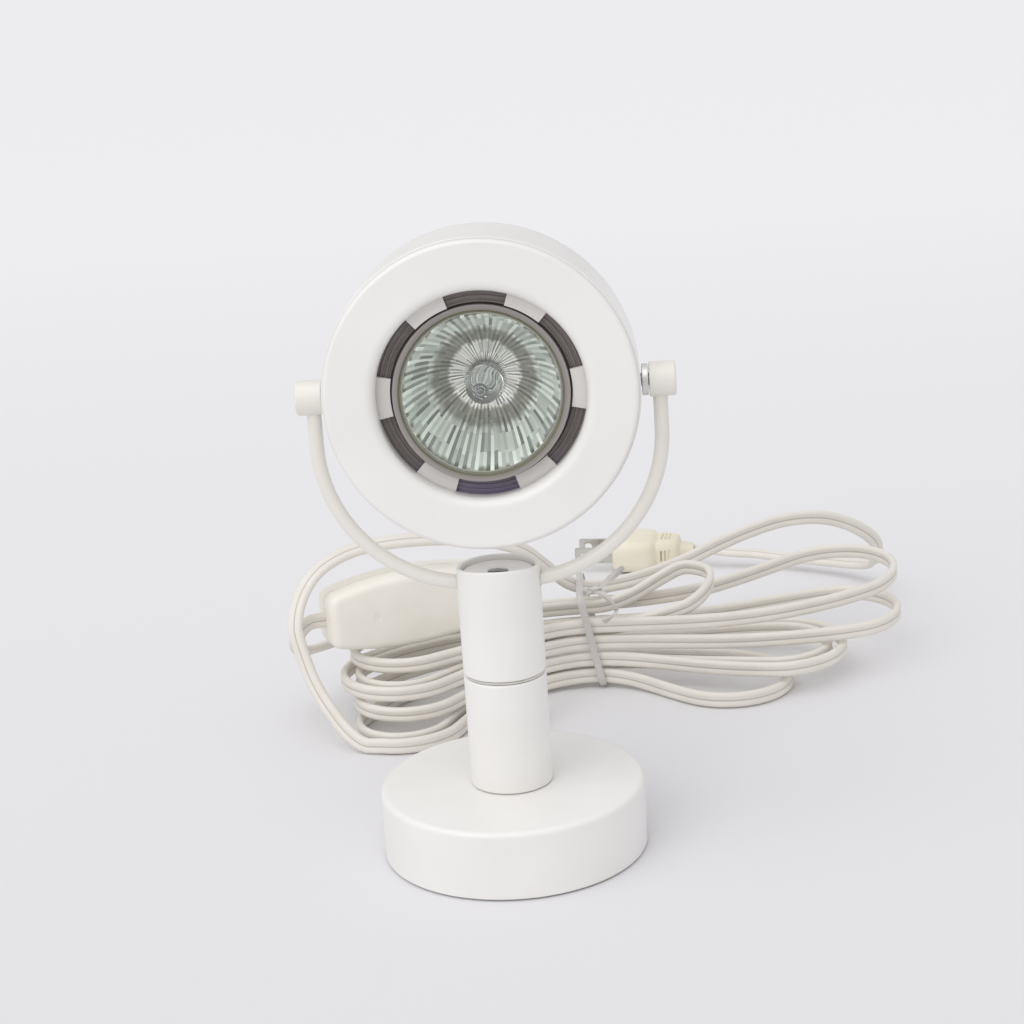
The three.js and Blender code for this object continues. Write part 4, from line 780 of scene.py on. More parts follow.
front_profile = (
    softened([(44.4, -9.9, 0), (44.4, HEAD_FRONT, 1.2), (38, HEAD_FRONT, 0)], 6)
    + [(33.6, HEAD_FRONT), (33.1, HEAD_FRONT)] + rolled_lip(3.0)
    + softened([(29.8, -8.2, 0), (29.8, -6.0, 0.3), (31.1, -6.0, 0.3), (31.1, -8.2, 0)], 2)
    + rolled_lip(1.7)[::-1]
    + [(42.1, -10.2), (42.1, -4.0), (43.4, -4.0), (43.4, -9.9), (44.4, -9.9)]
)
head_front = turn_in_head("drum_front", front_profile, sides=160, closed=True)
report(head_shell, head_front)

# %% [markdown]
# The retaining ring is turned plain first. Then, six times, the faces of its inner wall are picked
# by their angle, extruded, and scaled in towards the axis to make a tab.

# %% Turn the retaining ring and pull out its tabs
def pick(piece, kind, wanted):
    """Selects, in edit mode, the vertices, edges or faces that pass the test."""
    bpy.ops.mesh.select_mode(type=kind)
    bpy.ops.mesh.select_all(action="DESELECT")
    shape = bmesh.from_edit_mesh(piece.data)
    picked = 0
    for part in {"VERT": shape.verts, "EDGE": shape.edges, "FACE": shape.faces}[kind]:
        chosen = bool(wanted(part))
        part.select_set(chosen)
        picked += chosen
    bmesh.update_edit_mesh(piece.data)
    return picked


def on_a_tab(face):
    radius, angle = about_head(face.calc_center_median())
    angle %= 360 / TAB_COUNT
    on_tab = angle < TAB_HALF_ANGLE or angle > 360 / TAB_COUNT - TAB_HALF_ANGLE
    return on_tab and radius < RING_INSIDE + 0.2 and abs(face.normal.y) < 0.2


retainer = turn_in_head("retaining_ring", [
    (RING_INSIDE, -5.7), (31.5, -5.7), (31.5, -4.6), (RING_INSIDE, -4.6), (RING_INSIDE, -5.7),
], sides=180, closed=True)
edit(retainer)
print("retaining ring:", pick(retainer, "FACE", on_a_tab), "faces pulled out")
bpy.ops.mesh.extrude_region_move()
scale_in_head(TAB_REACH / RING_INSIDE)
settle(retainer, 30)
report(retainer)

# %% [markdown]
# ## The bulb
#
# The bulb is a glass bowl with a thin coating that mirrors the light and lets the heat through.
# Its inner wall is pressed in narrow radial flutes, and a clear disc closes the front. The bowl is
# turned with an even number of sides, and every second line of points is then scaled in a little,
# which turns the smooth wall into flutes.

# %% Turn the reflector bowl
BULB_FRONT = -6.9
FLUTES = 60
FLUTE_DEPTH = 0.985
BOWL_WIDE = 22.2
BOWL_NARROW = 8.2
BOWL_FRONT = -5.5
BOWL_BACK = 19.1


def bowl_point(share, out=0.0):
    radius = BOWL_NARROW + (BOWL_WIDE - BOWL_NARROW) * math.sqrt(1 - share)
    return radius + out, BOWL_FRONT + (BOWL_BACK - BOWL_FRONT) * share


bowl_steps = [1 - (1 - i / 18) ** 2 for i in range(19)]
bowl_profile = (
    [(6.2, 22.6), (6.2, 19.4)]
    + [bowl_point(share) for share in bowl_steps[::-1]]
    + [(23.3, -5.5), (23.6, -5.9), (23.6, BULB_FRONT), (25.0, BULB_FRONT),
       (25.2, BULB_FRONT + 0.2), (25.2, -5.3), (25.0, -5.1), (23.6, -5.1)]
    + [bowl_point(share, 1.3) for share in bowl_steps[3:]]
    + [(9.5, 23.7)]
)
reflector = turn_in_head("bulb_bowl", bowl_profile, sides=2 * FLUTES, angle=20)


def between_flutes(vertex):
    radius, angle = about_head(vertex.co)
    depth = vertex.co.y * 1000
    share = (depth - BOWL_FRONT) / (BOWL_BACK - BOWL_FRONT)
    wall_radius, _ = bowl_point(min(max(share, 0), 1))
    on_wall = BOWL_FRONT - 0.1 < depth < BOWL_BACK + 0.1 and abs(radius - wall_radius) < 0.4
    return on_wall and round(angle * FLUTES / 180) % 2 == 0


edit(reflector)
print("points between the flutes:", pick(reflector, "VERT", between_flutes))
scale_in_head(FLUTE_DEPTH)
bpy.ops.object.mode_set(mode="OBJECT")

bulb_glass = turn_in_head("bulb_front_glass", softened([
    (0, BULB_FRONT, 0), (23.1, BULB_FRONT, 0.3), (23.1, BULB_FRONT + 1.1, 0.3),
    (0, BULB_FRONT + 1.1, 0),
]), sides=120)
capsule = turn_in_head("bulb_envelope", [
    (0, 3.4), (0.5, 3.42), (0.9, 3.75), (1.3, 3.6), (1.9, 4.2), (2.4, 4.1), (3.3, 4.9),
    (4.4, 6.2), (5.0, 7.8), (5.2, 10.0), (5.2, 16.0), (5.0, 17.4), (4.3, 18.4), (3.0, 19.2),
    (3.0, 22.6), (0, 22.8),
], sides=64, angle=60)
report(reflector, bulb_glass, capsule)

# %% [markdown]
# A bulb of this kind hangs in its ring on two pins, and in the photograph it sits a few degrees
# askew, looking up at the camera. The capsule stands a little askew in its bowl too. The finished
# pieces are turned by that much about the middle of the ring and the neck of the bowl.

# %% Set the bulb a little askew
BULB_TILT = 5.0
CAPSULE_LEAN = Vector((-0.13, 0, -0.16))
CAPSULE_SHIFT = (1.3, 0, 1.7)
NECK_DEPTH = Vector((0, 21.0, 0))
RING_DEPTH = Vector((0, -6.0, 0))


def tilt_piece(piece, degrees, axis, middle):
    turn = Matrix.Rotation(math.radians(degrees), 4, axis)
    place = Matrix.Translation(mm(*middle))
    piece.matrix_world = place @ turn @ place.inverted()
    settle(piece)


lean_axis = Vector((0, 1, 0)).cross(CAPSULE_LEAN).normalized()
lean = -math.degrees(math.atan(CAPSULE_LEAN.length))
neck = Vector(HEAD_CENTRE) + Vector(CAPSULE_SHIFT) + NECK_DEPTH
ring_middle = Vector(HEAD_CENTRE) + RING_DEPTH
capsule.location = mm(*CAPSULE_SHIFT)
settle(capsule)
tilt_piece(capsule, lean, lean_axis, neck)
for piece in (reflector, bulb_glass, capsule):
    tilt_piece(piece, -BULB_TILT, Vector((1, 0, 0)), ring_middle)
print("bulb tilted", BULB_TILT, "degrees, capsule leans", round(-lean, 1))

# %% [markdown]
# Behind the tabs lies the seat that the bulb's rim rests on, a ring with fine ridges. It is what
# shows, a little glossy, in the gaps between the tabs, and it is coloured dark as painted shade for
# those gaps. An inner lip closes the gap behind the bulb's rim.

# %% Turn the bulb's seat
bulb_seat = turn_in_head("bulb_seat_ring", [
    (25.9, -4.1), (25.9, -4.4), (26.3, -4.5), (26.5, -4.2), (26.9, -4.2), (27.1, -4.5),
    (27.7, -4.5), (27.9, -4.2), (28.3, -4.2), (28.5, -4.5),
    (29.1, -4.5), (29.3, -4.2), (29.7, -4.2), (29.9, -4.5), (31.4, -4.5), (31.4, -3.9),
    (26.7, -3.9), (26.7, -1.2), (23.8, -1.2), (23.8, -2.0), (25.9, -2.0), (25.9, -4.1),
], sides=144, closed=True, angle=30)
report(bulb_seat)

# %% [markdown]
# ## The switch
#
# The inline switch is two moulded shells, 61 mm long, that swell from 18 mm high at the ends to
# 26 mm in the middle. It is modelled lying along X: a plane is cut into strips, each cross line is
# scaled to the outline there, and the plane is extruded to the shell's thickness. It is then
# turned and moved to its place in the cord.

# %% Model the switch's two shells
SWITCH_HEIGHT = 26.0
SWITCH_END_HEIGHT = 18.0
SWITCH_THICKNESS = 16.0
SWITCH_EDGE = 2.8
SWITCH_STRIPS = 20
HOLLOW_EDGE = 0.3
NEARNESS = 1e-5


def switch_height(x, inset):
    share = 2 * x / SWITCH_LENGTH
    return SWITCH_HEIGHT - (SWITCH_HEIGHT - SWITCH_END_HEIGHT) * share * share - 2 * inset


def strip_grid(name, strips, length, height, y):
    """Adds a plane across Y, cut into strips along X, and edits it."""
    select_none()
    bpy.ops.mesh.primitive_grid_add(
        x_subdivisions=strips, y_subdivisions=1, size=1, location=(0, mm(y), 0),
        rotation=(math.pi / 2, 0, 0))
    grid = name_new(name)
    grid.scale = (mm(length), mm(height), 1)
    apply_place()
    bpy.ops.object.mode_set(mode="EDIT")
    return grid


def extrude_all(*way):
    take_whole("FACE")
    bpy.ops.mesh.extrude_region_move(TRANSFORM_OT_translate={"value": mm(*way)})


def round_edges(piece, radius, segments, wanted):
    pick(piece, "EDGE", wanted)
    bpy.ops.mesh.bevel(offset=mm(radius), segments=segments, affect="EDGES")
    bpy.ops.object.mode_set(mode="OBJECT")


def near(a, b):
    """Tells whether two lengths, one in metres and one in millimetres, are the same."""
    return abs(a - mm(b)) < NEARNESS


def bent_more(edge, angle):
    return len(edge.link_faces) == 2 and edge.calc_face_angle(0) > angle


def switch_shell(name, seam, face, inset=0.0):
    length = SWITCH_LENGTH - 2 * inset
    shell = strip_grid(name, SWITCH_STRIPS, length, 1, seam)
    for i in range(SWITCH_STRIPS + 1):
        x = length * (i / SWITCH_STRIPS - 0.5)
        pick(shell, "VERT", lambda vertex: near(vertex.co.x, x))
        bpy.ops.transform.resize(value=(1, 1, switch_height(x, inset)),
                                 center_override=mm(x, seam, 0))
    extrude_all(0, face - seam, 0)
    face_outwards()

    def outer_or_corner(edge):
        start, end = [vertex.co for vertex in edge.verts]
        corner = near(abs(start.x), length / 2) and (start - end).xz.length < 0.1 * NEARNESS
        return corner or (near(start.y, face) and near(end.y, face) and bent_more(edge, 1.0))

    round_edges(shell, HOLLOW_EDGE if inset else SWITCH_EDGE, 4, outer_or_corner)
    return shell


def to_place(piece, place, yaw):
    piece.rotation_euler = (0, 0, math.radians(yaw))
    piece.location = mm(*place)
    settle(piece)


switch_front = switch_shell("switch_shell_front", -0.15, -SWITCH_THICKNESS / 2)
switch_back = switch_shell("switch_shell_back", 0.15, SWITCH_THICKNESS / 2)
report(switch_front, switch_back)

# %% [markdown]
# The shells are hollow. The same block, made smaller by the wall, is cut out of each one. The back
# shell also gets the opening for the rocker and two sunk screw holes, and the front shell a shallow
# round dimple left by the mould. Cutters that are taken away together are joined into one first.

# %% Hollow the shells and cut their openings
def join_up(first, *others):
    make_active(first)
    for other in others:
        other.select_set(True)
    if others:
        bpy.ops.object.join()
    return first


def cut_away(piece, *cutters):
    tool = join_up(*cutters)
    cut = piece.modifiers.new("cut", "BOOLEAN")
    cut.operation = "DIFFERENCE"
    cut.solver = "EXACT"
    cut.object = tool
    make_active(piece)
    bpy.ops.object.modifier_apply(modifier="cut")
    bpy.data.objects.remove(tool)


def box_tool(low, high):
    select_none()
    middle = [(a + b) / 2 for a, b in zip(low, high)]
    bpy.ops.mesh.primitive_cube_add(size=1, location=mm(*middle))
    tool = bpy.context.object
    tool.scale = mm(*[b - a for a, b in zip(low, high)])
    apply_place()
    return tool


def round_tool(radius, low, high, x=0.0, z=0.0, sides=32):
    select_none()
    bpy.ops.mesh.primitive_cylinder_add(
        vertices=sides, radius=mm(radius), depth=mm(high - low),
        location=mm(x, (low + high) / 2, z), rotation=(math.pi / 2, 0, 0))
    return bpy.context.object


SWITCH_WALL = 1.5
SCREW_PLACE = 22
inner_face = SWITCH_THICKNESS / 2 - SWITCH_WALL
dimple = round_tool(1.6, -9, -7.7, x=-14)
rocker_opening = box_tool((-9.4, 5, -5.8), (9.4, 9, 5.8))
screw_holes = [round_tool(2.5, 5, 9, x=x) for x in (-SCREW_PLACE, SCREW_PLACE)]
cut_away(switch_front, switch_shell("hollow", 1.0, -inner_face, SWITCH_WALL))
cut_away(switch_front, dimple)
cut_away(switch_back, switch_shell("hollow", -1.0, inner_face, SWITCH_WALL))
cut_away(switch_back, rocker_opening, *screw_holes)
for shell in (switch_front, switch_back):
    to_place(shell, SWITCH_PLACE, SWITCH_YAW)
report(switch_front, switch_back)

# %% [markdown]
# The rocker is a grid cut into strips across its length. The strips in the middle are let down to
# make the hollow that the finger feels, then the grid is given its depth and its edges are rounded.

# %% Model the rocker
ROCKER_LENGTH = 17.0
ROCKER_HEIGHT = 10.4
ROCKER_TOP = 8.6
ROCKER_DIP = 7.8
ROCKER_FOOT = 4.2
ROCKER_PIN = 5.9
ROCKER_TILT = 8.0
ROCKER_STRIPS = 16
ROCKER_EDGE = 0.4
FOOT_SHARE = 15.2 / ROCKER_LENGTH

rocker = strip_grid("rocker_cap", ROCKER_STRIPS, ROCKER_LENGTH, ROCKER_HEIGHT, ROCKER_TOP)
extrude_all(0, ROCKER_FOOT - ROCKER_TOP, 0)
bpy.ops.transform.resize(value=(FOOT_SHARE, 1, 1), center_override=mm(0, ROCKER_FOOT, 0))
for i in range(1, ROCKER_STRIPS):
    x = ROCKER_LENGTH * (i / ROCKER_STRIPS - 0.5)
    share = 2 * x / ROCKER_LENGTH
    pick(rocker, "VERT", lambda vertex: near(vertex.co.y, ROCKER_TOP) and near(vertex.co.x, x))
    bpy.ops.transform.translate(value=mm(0, (ROCKER_DIP - ROCKER_TOP) * (1 - share * share), 0))
face_outwards()
round_edges(rocker, ROCKER_EDGE, 3, lambda edge: bent_more(edge, 0.9))
tilt_piece(rocker, ROCKER_TILT, "Z", (0, ROCKER_PIN, 0))
to_place(rocker, SWITCH_PLACE, SWITCH_YAW)
report(rocker)

# %% [markdown]
# ## The plug
#
# The plug is one moulded body: a rounded block for the fingers, a waist, a ribbed grip, and a taper
# that holds the cord. By hand it is a small plane across the cord, its corners rounded, then
# extruded and scaled along the cord again and again. The blades are stamped from nickel-plated
# brass strip, with the usual round hole near the tip.

# %% Model the plug
PLUG_RINGS = [
    (-16.5, 9.6, 4.6), (-16.45, 10.1, 5.1), (-16.1, 10.8, 5.7), (-15.3, 11.4, 6.3),
    (-14.2, 11.8, 6.65), (-12.6, 12.0, 6.8), (-5.0, 12.0, 6.8), (-1.8, 11.6, 6.6),
    (-0.4, 10.9, 6.3), (0.5, 9.8, 5.8), (1.0, 8.9, 5.3), (1.3, 8.6, 5.15), (1.7, 8.7, 5.5),
    (2.1, 8.8, 5.9), (2.9, 8.8, 6.05), (5.5, 8.0, 6.0), (8.6, 7.3, 5.7), (9.6, 6.9, 5.4),
    (10.2, 6.2, 4.9), (10.6, 5.2, 4.0), (10.9, 4.7, 3.3), (11.4, 4.5, 3.0), (15.6, 3.7, 2.4),
    (16.1, 3.5, 2.2), (16.4, 3.25, 1.95), (16.5, 3.1, 1.8),
]
PLUG_CORNER = 0.72
RIB_PLACES = (3.6, 5.2, 6.8)
RIB_HALF = 0.4
RIB_OUT = 8.4
RIB_UP = 6.0
RIB_TALL = 2.2
RIB_BROAD = 4.0

select_none()
middle_z = PLUG_THICKNESS / 2
last_x, last_wide, last_high = PLUG_RINGS[0]
bpy.ops.mesh.primitive_plane_add(size=1, location=mm(last_x, 0, middle_z),
                                 rotation=(0, math.pi / 2, 0))
plug = name_new("plug_moulding")
plug.scale = (mm(2 * last_high), mm(2 * last_wide), 1)
apply_place()
bpy.ops.object.mode_set(mode="EDIT")
take_whole("VERT")
bpy.ops.mesh.bevel(offset=mm(last_high * PLUG_CORNER), segments=10, affect="VERTICES")
take_whole("FACE")
for x, wide, high in PLUG_RINGS[1:]:
    bpy.ops.mesh.extrude_region_move(TRANSFORM_OT_translate={"value": (mm(x - last_x), 0, 0)})
    bpy.ops.transform.resize(value=(1, wide / last_wide, high / last_high),
                             center_override=mm(x, 0, middle_z))
    last_x, last_wide, last_high = x, wide, high
face_outwards()
ribs = []
for x in RIB_PLACES:
    start, end = x - RIB_HALF, x + RIB_HALF
    for side in (-1, 1):
        y, z = side * RIB_OUT, middle_z + side * RIB_UP
        ribs.append(box_tool((start, y - 1, middle_z - RIB_TALL), (end, y + 1, middle_z + RIB_TALL)))
        ribs.append(box_tool((start, -RIB_BROAD, z - 0.5), (end, RIB_BROAD, z + 0.5)))
cut_away(plug, *ribs)
to_place(plug, PLUG_PLACE, PLUG_YAW)

BLADE_SPACING = 12.7
BLADE_TIP = -32.5
BLADE_ROOT = -13.1
BLADE_HALF_HEIGHT = 3.15
BLADE_HALF_THICK = 0.75
BLADE_HOLE = 1.6
BLADE_HOLE_PLACE = -28.6
BLADE_EDGE = 0.5
blade = box_tool((BLADE_TIP, -BLADE_HALF_THICK, middle_z - BLADE_HALF_HEIGHT),
                 (BLADE_ROOT, BLADE_HALF_THICK, middle_z + BLADE_HALF_HEIGHT))
cut_away(blade, round_tool(BLADE_HOLE, -2, 2, x=BLADE_HOLE_PLACE, z=middle_z, sides=40))
edit(blade)
round_edges(blade, BLADE_EDGE, 2, lambda edge: all(near(end.co.x, BLADE_TIP) for end in edge.verts))
blades = []
for side, name in ((-1, "plug_blade_near"), (1, "plug_blade_far")):
    copy = copy_of(blade, name)
    copy.location = mm(0, side * BLADE_SPACING / 2, 0)
    settle(copy)
    to_place(copy, PLUG_PLACE, PLUG_YAW)
    blades.append(copy)
bpy.data.objects.remove(blade)
report(plug, *blades)

# %% [markdown]
# ## The twist tie
#
# The tie is a flat plastic ribbon with a wire along its middle. It goes once round the waist of
# the hank, a little aslant, and its ends are twisted together and left standing. It is carried
# along its path like the cord, so it is a mesh and not a curve.

# %% Draw the tie
TIE_HALF = 1.25
TIE_CORNER = 3.2
TIE_NEAR = 125.6
TIE_FAR = 156.3
TIE_LOW = 0.9
TIE_HIGH = 34.9
TIE_SLANT = 0.2
TIE_TWIST = 0.16
TIE_APART = 0.9
TIE_STEP = 0.8


def tie_round(near, far, low, high, corner, steps=6):
    centres = [(near + corner, high - corner), (near + corner, low + corner),
               (far - corner, low + corner), (far - corner, high - corner)]
    line = []
    for k, (y, z) in enumerate(centres):
        for i in range(steps + 1):
            angle = math.radians(90 + 90 * k + 90 * i / steps)
            line.append((y + corner * math.cos(angle), z + corner * math.sin(angle)))
    return line


ribbon = [(-TIE_HALF, 0.0), (-TIE_HALF + 0.15, 0.16), (-0.45, 0.18), (-0.25, 0.4), (0.25, 0.4),
          (0.45, 0.18), (TIE_HALF - 0.15, 0.16), (TIE_HALF, 0.0), (TIE_HALF - 0.15, -0.16),
          (0.45, -0.18), (0.25, -0.4), (-0.25, -0.4), (-0.45, -0.18), (-TIE_HALF + 0.15, -0.16)]
middle_high = (TIE_LOW + TIE_HIGH) / 2
loop_points = [[HANK_WAIST_X + TIE_SLANT * (middle_high - z), y, z]
               for y, z in tie_round(TIE_NEAR, TIE_FAR, TIE_LOW, TIE_HIGH, TIE_CORNER)]
tie_line = even_steps(smooth_line(loop_points + [loop_points[0]], 6), TIE_STEP)
sideways = numpy.array([1.0, 0, 0])
tie_sides = numpy.array([square_to(sideways, tangent) for tangent in tangents_of(tie_line)])
tie_band = section_tube("twist_ribbon", tie_line, tie_sides, ribbon)
TIE_ENDS = [
    [[23.4, 131, 34.6], [24.6, 129.4, 36.4], [25.8, 127.6, 36.6], [27.6, 126.8, 37.6],
     [30.8, 126.6, 40.4], [36.6, 128.2, 44.6]],
    [[23.2, 127.2, 35.2], [24.4, 128.8, 35.6], [25.4, 129.2, 37.2], [27.2, 126.6, 36.8],
     [30.8, 123.8, 34.4], [33.4, 122.6, 31], [31.4, 122.4, 28.2], [28.6, 123.4, 26.2]],
]
tie_ends = []
for k, points in enumerate(TIE_ENDS):
    line = even_steps(smooth_line(points, 12), TIE_STEP)
    ways = zip(tangents_of(line), broad_sides(line))
    spun = [Quaternion(Vector(tangent), TIE_APART * k + TIE_TWIST * i) @ Vector(side)
            for i, (tangent, side) in enumerate(ways)]
    tie_ends.append(section_tube(f"tie_end_{k + 1}", line, numpy.array(spun), ribbon))
edit(join_up(tie_band, *tie_ends))
face_outwards()
settle(tie_band, 60)
report(tie_band)

# %% [markdown]
# ## Holes
#
# The head's domed back has ten slots that let the heat out, and a hole on each side for its pivot.
# A slot cutter is a cylinder whose two halves are moved apart, copied round the head. The stem has
# a hole on each side for the yoke, the base has one for the cord's gland, and the clamp's screw
# has a slot. The rim of the open stem stands a little higher in front than behind.

# %% Make the slots' cutters
VENT_COUNT = 10
VENT_CIRCLE = 26.0
VENT_WIDTH = 3.0
VENT_LENGTH = 9.0
centre_x, _, centre_z = HEAD_CENTRE
vent = round_tool(VENT_WIDTH / 2, 14.5, 52, x=centre_x + VENT_CIRCLE, z=centre_z, sides=24)
edit(vent)
for side in (-1, 1):
    pick(vent, "VERT", lambda vertex: side * vertex.co.x > mm(0.05))
    bpy.ops.transform.translate(value=mm(side * (VENT_LENGTH - VENT_WIDTH) / 2, 0, 0))
bpy.ops.object.mode_set(mode="OBJECT")
vents = []
head_middle = Matrix.Translation(mm(*HEAD_CENTRE))
for i in range(VENT_COUNT):
    copy = copy_of(vent, "vent")
    turn = Matrix.Rotation(2 * math.pi * (i + 0.5) / VENT_COUNT, 4, "Y")
    copy.matrix_world = head_middle @ turn @ head_middle.inverted() @ vent.matrix_world
    vents.append(copy)
bpy.data.objects.remove(vent)

# %% Raise the front of the stem's rim
RIM_LIFT = 1.7
RIM_STEPS = 12
RIM_FOOT = 86.8


def on_rim(vertex, forward):
    return vertex.co.z > mm(RIM_FOOT) and -vertex.co.y > mm(forward)


edit(stem_upper)
for i in range(RIM_STEPS):
    forward = STEM_RADIUS * (i + 0.5) / RIM_STEPS
    pick(stem_upper, "VERT", lambda vertex: on_rim(vertex, forward))
    bpy.ops.transform.translate(value=mm(0, 0, RIM_LIFT / RIM_STEPS))
bpy.ops.object.mode_set(mode="OBJECT")

# %% Cut the slots and the holes
YOKE_LOW = 83.7
PIVOT_HOLE = 2.2
YOKE_HOLE = 2.55


def side_tools(radius, start, end, z):
    tools = []
    for side in (-1, 1):
        select_none()
        bpy.ops.mesh.primitive_cylinder_add(
            vertices=48, radius=mm(radius), depth=mm(end - start),
            location=mm(side * (start + end) / 2, 0, z), rotation=(0, math.pi / 2, 0))
        tools.append(bpy.context.object)
    return tools


cut_away(head_shell, *vents, *side_tools(PIVOT_HOLE, 40, 50, centre_z))
cut_away(stem_upper, *side_tools(YOKE_HOLE, 9, 14, YOKE_LOW))
cut_away(base_cover, round_tool(3.65, 30, 45, z=7.2))
cut_away(yoke_screw, box_tool((-4, -0.35, 85.75), (4, 0.35, 87)))
for piece in (head_shell, stem_upper, base_cover, yoke_screw):
    settle(piece, 30)
report(head_shell, stem_upper, base_cover, yoke_screw)

# %% [markdown]
# ## Finishes
#
# No real surface is one flat colour. Each finish below starts from what the real one is, and gets
# three things from noise at a real size: a faint drift of colour, a drift of gloss, and a bump for
# the texture that the process leaves. Pattern sizes are written in millimetres. Object coordinates
# are in metres, so a pattern of a given size needs a scale of 1000 divided by that size.

# %% Helpers that drift colour and gloss
def sized_pattern(tree, size, detail=2.0, place=None, stretch=None):
    """Lays noise over a piece, with patches of a real size in millimetres."""
    if place is None:
        place = add_node(tree, "ShaderNodeTexCoord").outputs["Object"]
    if stretch:
        place = add_node(tree, "ShaderNodeMapping", {"Vector": place, "Scale": stretch})
        place = place.outputs["Vector"]
    noise = add_node(tree, "ShaderNodeTexNoise",
                     {"Vector": place, "Scale": 1000 / size, "Detail": detail})
    return noise.outputs["Fac"]


def drift_colour(tree, shader, low, high, size):
    spread = add_node(tree, "ShaderNodeMapRange", {
        "Value": sized_pattern(tree, size), "From Min": 0.35, "From Max": 0.65})
    mix = add_node(tree, "ShaderNodeMix", {
        "Factor": spread.outputs["Result"], 6: linear(low), 7: linear(high)}, data_type="RGBA")
    tree.links.new(mix.outputs[2], shader.inputs["Base Color"])


def drift_gloss(tree, shader, low, high, size):
    spread = add_node(tree, "ShaderNodeMapRange", {
        "Value": sized_pattern(tree, size, 3.0), "From Min": 0.3, "From Max": 0.7,
        "To Min": low, "To Max": high})
    tree.links.new(spread.outputs["Result"], shader.inputs["Roughness"])


def raise_bump(tree, shader, size, height, strength=1.0, detail=2.0, stretch=None):
    bump = add_node(tree, "ShaderNodeBump", {
        "Height": sized_pattern(tree, size, detail, stretch=stretch),
        "Distance": mm(height), "Strength": strength})
    tree.links.new(bump.outputs["Normal"], shader.inputs["Normal"])


def surface(name, inputs, colours, gloss, bump=None):
    """Makes a finish. Colours and gloss give a low end, a high end and the size of the drift."""
    material, tree, shader = start_material(name, inputs)
    drift_colour(tree, shader, *colours)
    drift_gloss(tree, shader, *gloss)
    if bump:
        raise_bump(tree, shader, **bump)
    return material


# %% [markdown]
# Baked white enamel on steel sheet: the base, the stem and the head. It is sprayed, so it flows into
# a slight orange peel, with waves of about 1.5 mm. Fingers and age warm it a little in patches of a
# few centimetres. The yoke and the knobs have the same enamel, a shade yellower. The ring that holds
# the bulb has a greyer one, a little less glossy.

# %% Mix the enamels
def enamel(name, low, high, gloss):
    return surface(
        name, {"IOR": 1.5, "Coat Weight": 0.25, "Coat Roughness": 0.12},
        (low, high, 28), (gloss - 0.02, gloss + 0.03, 9),
        {"size": 1.5, "height": 0.0015, "strength": 0.4})


white_enamel = enamel("baked_white_enamel", "#F0EEEA", "#F4F2EF", 0.3)
ivory_enamel = enamel("baked_ivory_enamel", "#E8E5DD", "#EDEAE3", 0.34)
set_finish(white_enamel, base_cover, stem_lower, stem_upper, head_shell, head_front)
ring_enamel = enamel("enamel_on_spring_steel", "#D9D5D1", "#E2DFDB", 0.36)
set_finish(ring_enamel, retainer)
set_finish(ivory_enamel, yoke, knob_left, knob_right)

# %% [markdown]
# Bare metals. The screw in the stem is turned steel, with fine rings from the tool, and the
# washer in the swivel is burnished bright by the stem that turns on it. Nuts, screws and brackets
# are plated with zinc, which is dull and a little cloudy, and the collar at the right pivot is
# brighter. The insert in the open top of the stem is cast zinc with thin grey paint.

# %% Make the metals
def metal(name, low, high, gloss, cloud, grain):
    return surface(
        name, {"Metallic": 1.0}, (low, high, cloud), (gloss - 0.07, gloss + 0.08, 2.5),
        {"size": grain, "height": 0.004, "strength": 0.6, "stretch": (1, 1, 6)})


turned_steel = metal("turned_steel", "#8D9093", "#A5A8AA", 0.32, 6, 0.25)
zinc_plate = metal("zinc_plated_steel", "#A9ACAD", "#BFC2C2", 0.4, 4, 0.6)
stamped_brass = metal("stamped_brass", "#B79650", "#C9AC66", 0.28, 5, 0.5)
grey_casting = enamel("painted_zinc_casting", "#F1EFEC", "#F8F6F3", 0.45)
bright_steel = metal("burnished_steel", "#DAD7D0", "#E8E5DF", 0.42, 6, 0.25)
bright_zinc = metal("bright_zinc_plate", "#DDDCDA", "#E9E8E6", 0.45, 4, 0.6)
set_finish(turned_steel, yoke_screw)
set_finish(bright_steel, swivel_washer)
set_finish(bright_zinc, spacer_right)
set_finish(grey_casting, yoke_clamp)

# %% [markdown]
# Moulded plastics. The switch is ABS, with a fine spark-eroded texture from the mould. The plug
# and the gland are soft PVC, smoother and duller. All are off-white that has yellowed a little,
# but for the tie, which is pale grey PVC.

# %% Make the plastics
PLASTIC_IOR = 1.53


def moulded_plastic(name, low, high, gloss, grain, height):
    return surface(
        name, {"IOR": PLASTIC_IOR}, (low, high, 14), (gloss - 0.05, gloss + 0.06, 4),
        {"size": grain, "height": height, "strength": 0.7})


switch_abs = moulded_plastic("textured_abs", "#F6F2E6", "#FAF7EE", 0.42, 0.7, 0.02)
plug_pvc = moulded_plastic("moulded_pvc", "#E9E2CB", "#F0EBD8", 0.48, 1.4, 0.012)
gland_pvc = moulded_plastic("moulded_gland_pvc", "#D9D3C6", "#E0DBD0", 0.5, 1.4, 0.012)
tie_pvc = moulded_plastic("grey_tie_pvc", "#CBC8C4", "#D6D3CF", 0.45, 0.8, 0.01)
set_finish(switch_abs, switch_front, switch_back)
set_finish(gland_pvc, cord_gland)

# %% [markdown]
# The cord is extruded PVC. Its groove is painted darker, a painted shade in the crease, which shows
# as a thin line along each broad side, and the plastic is a little mottled from handling. Both
# follow the cord, so they read its UV map: metres along the cord, and the share of the way round the
# section.

# %% Make the cord's finish
GROOVE_PLACE = CORE_POINTS / (2 * (CORE_POINTS + 1))


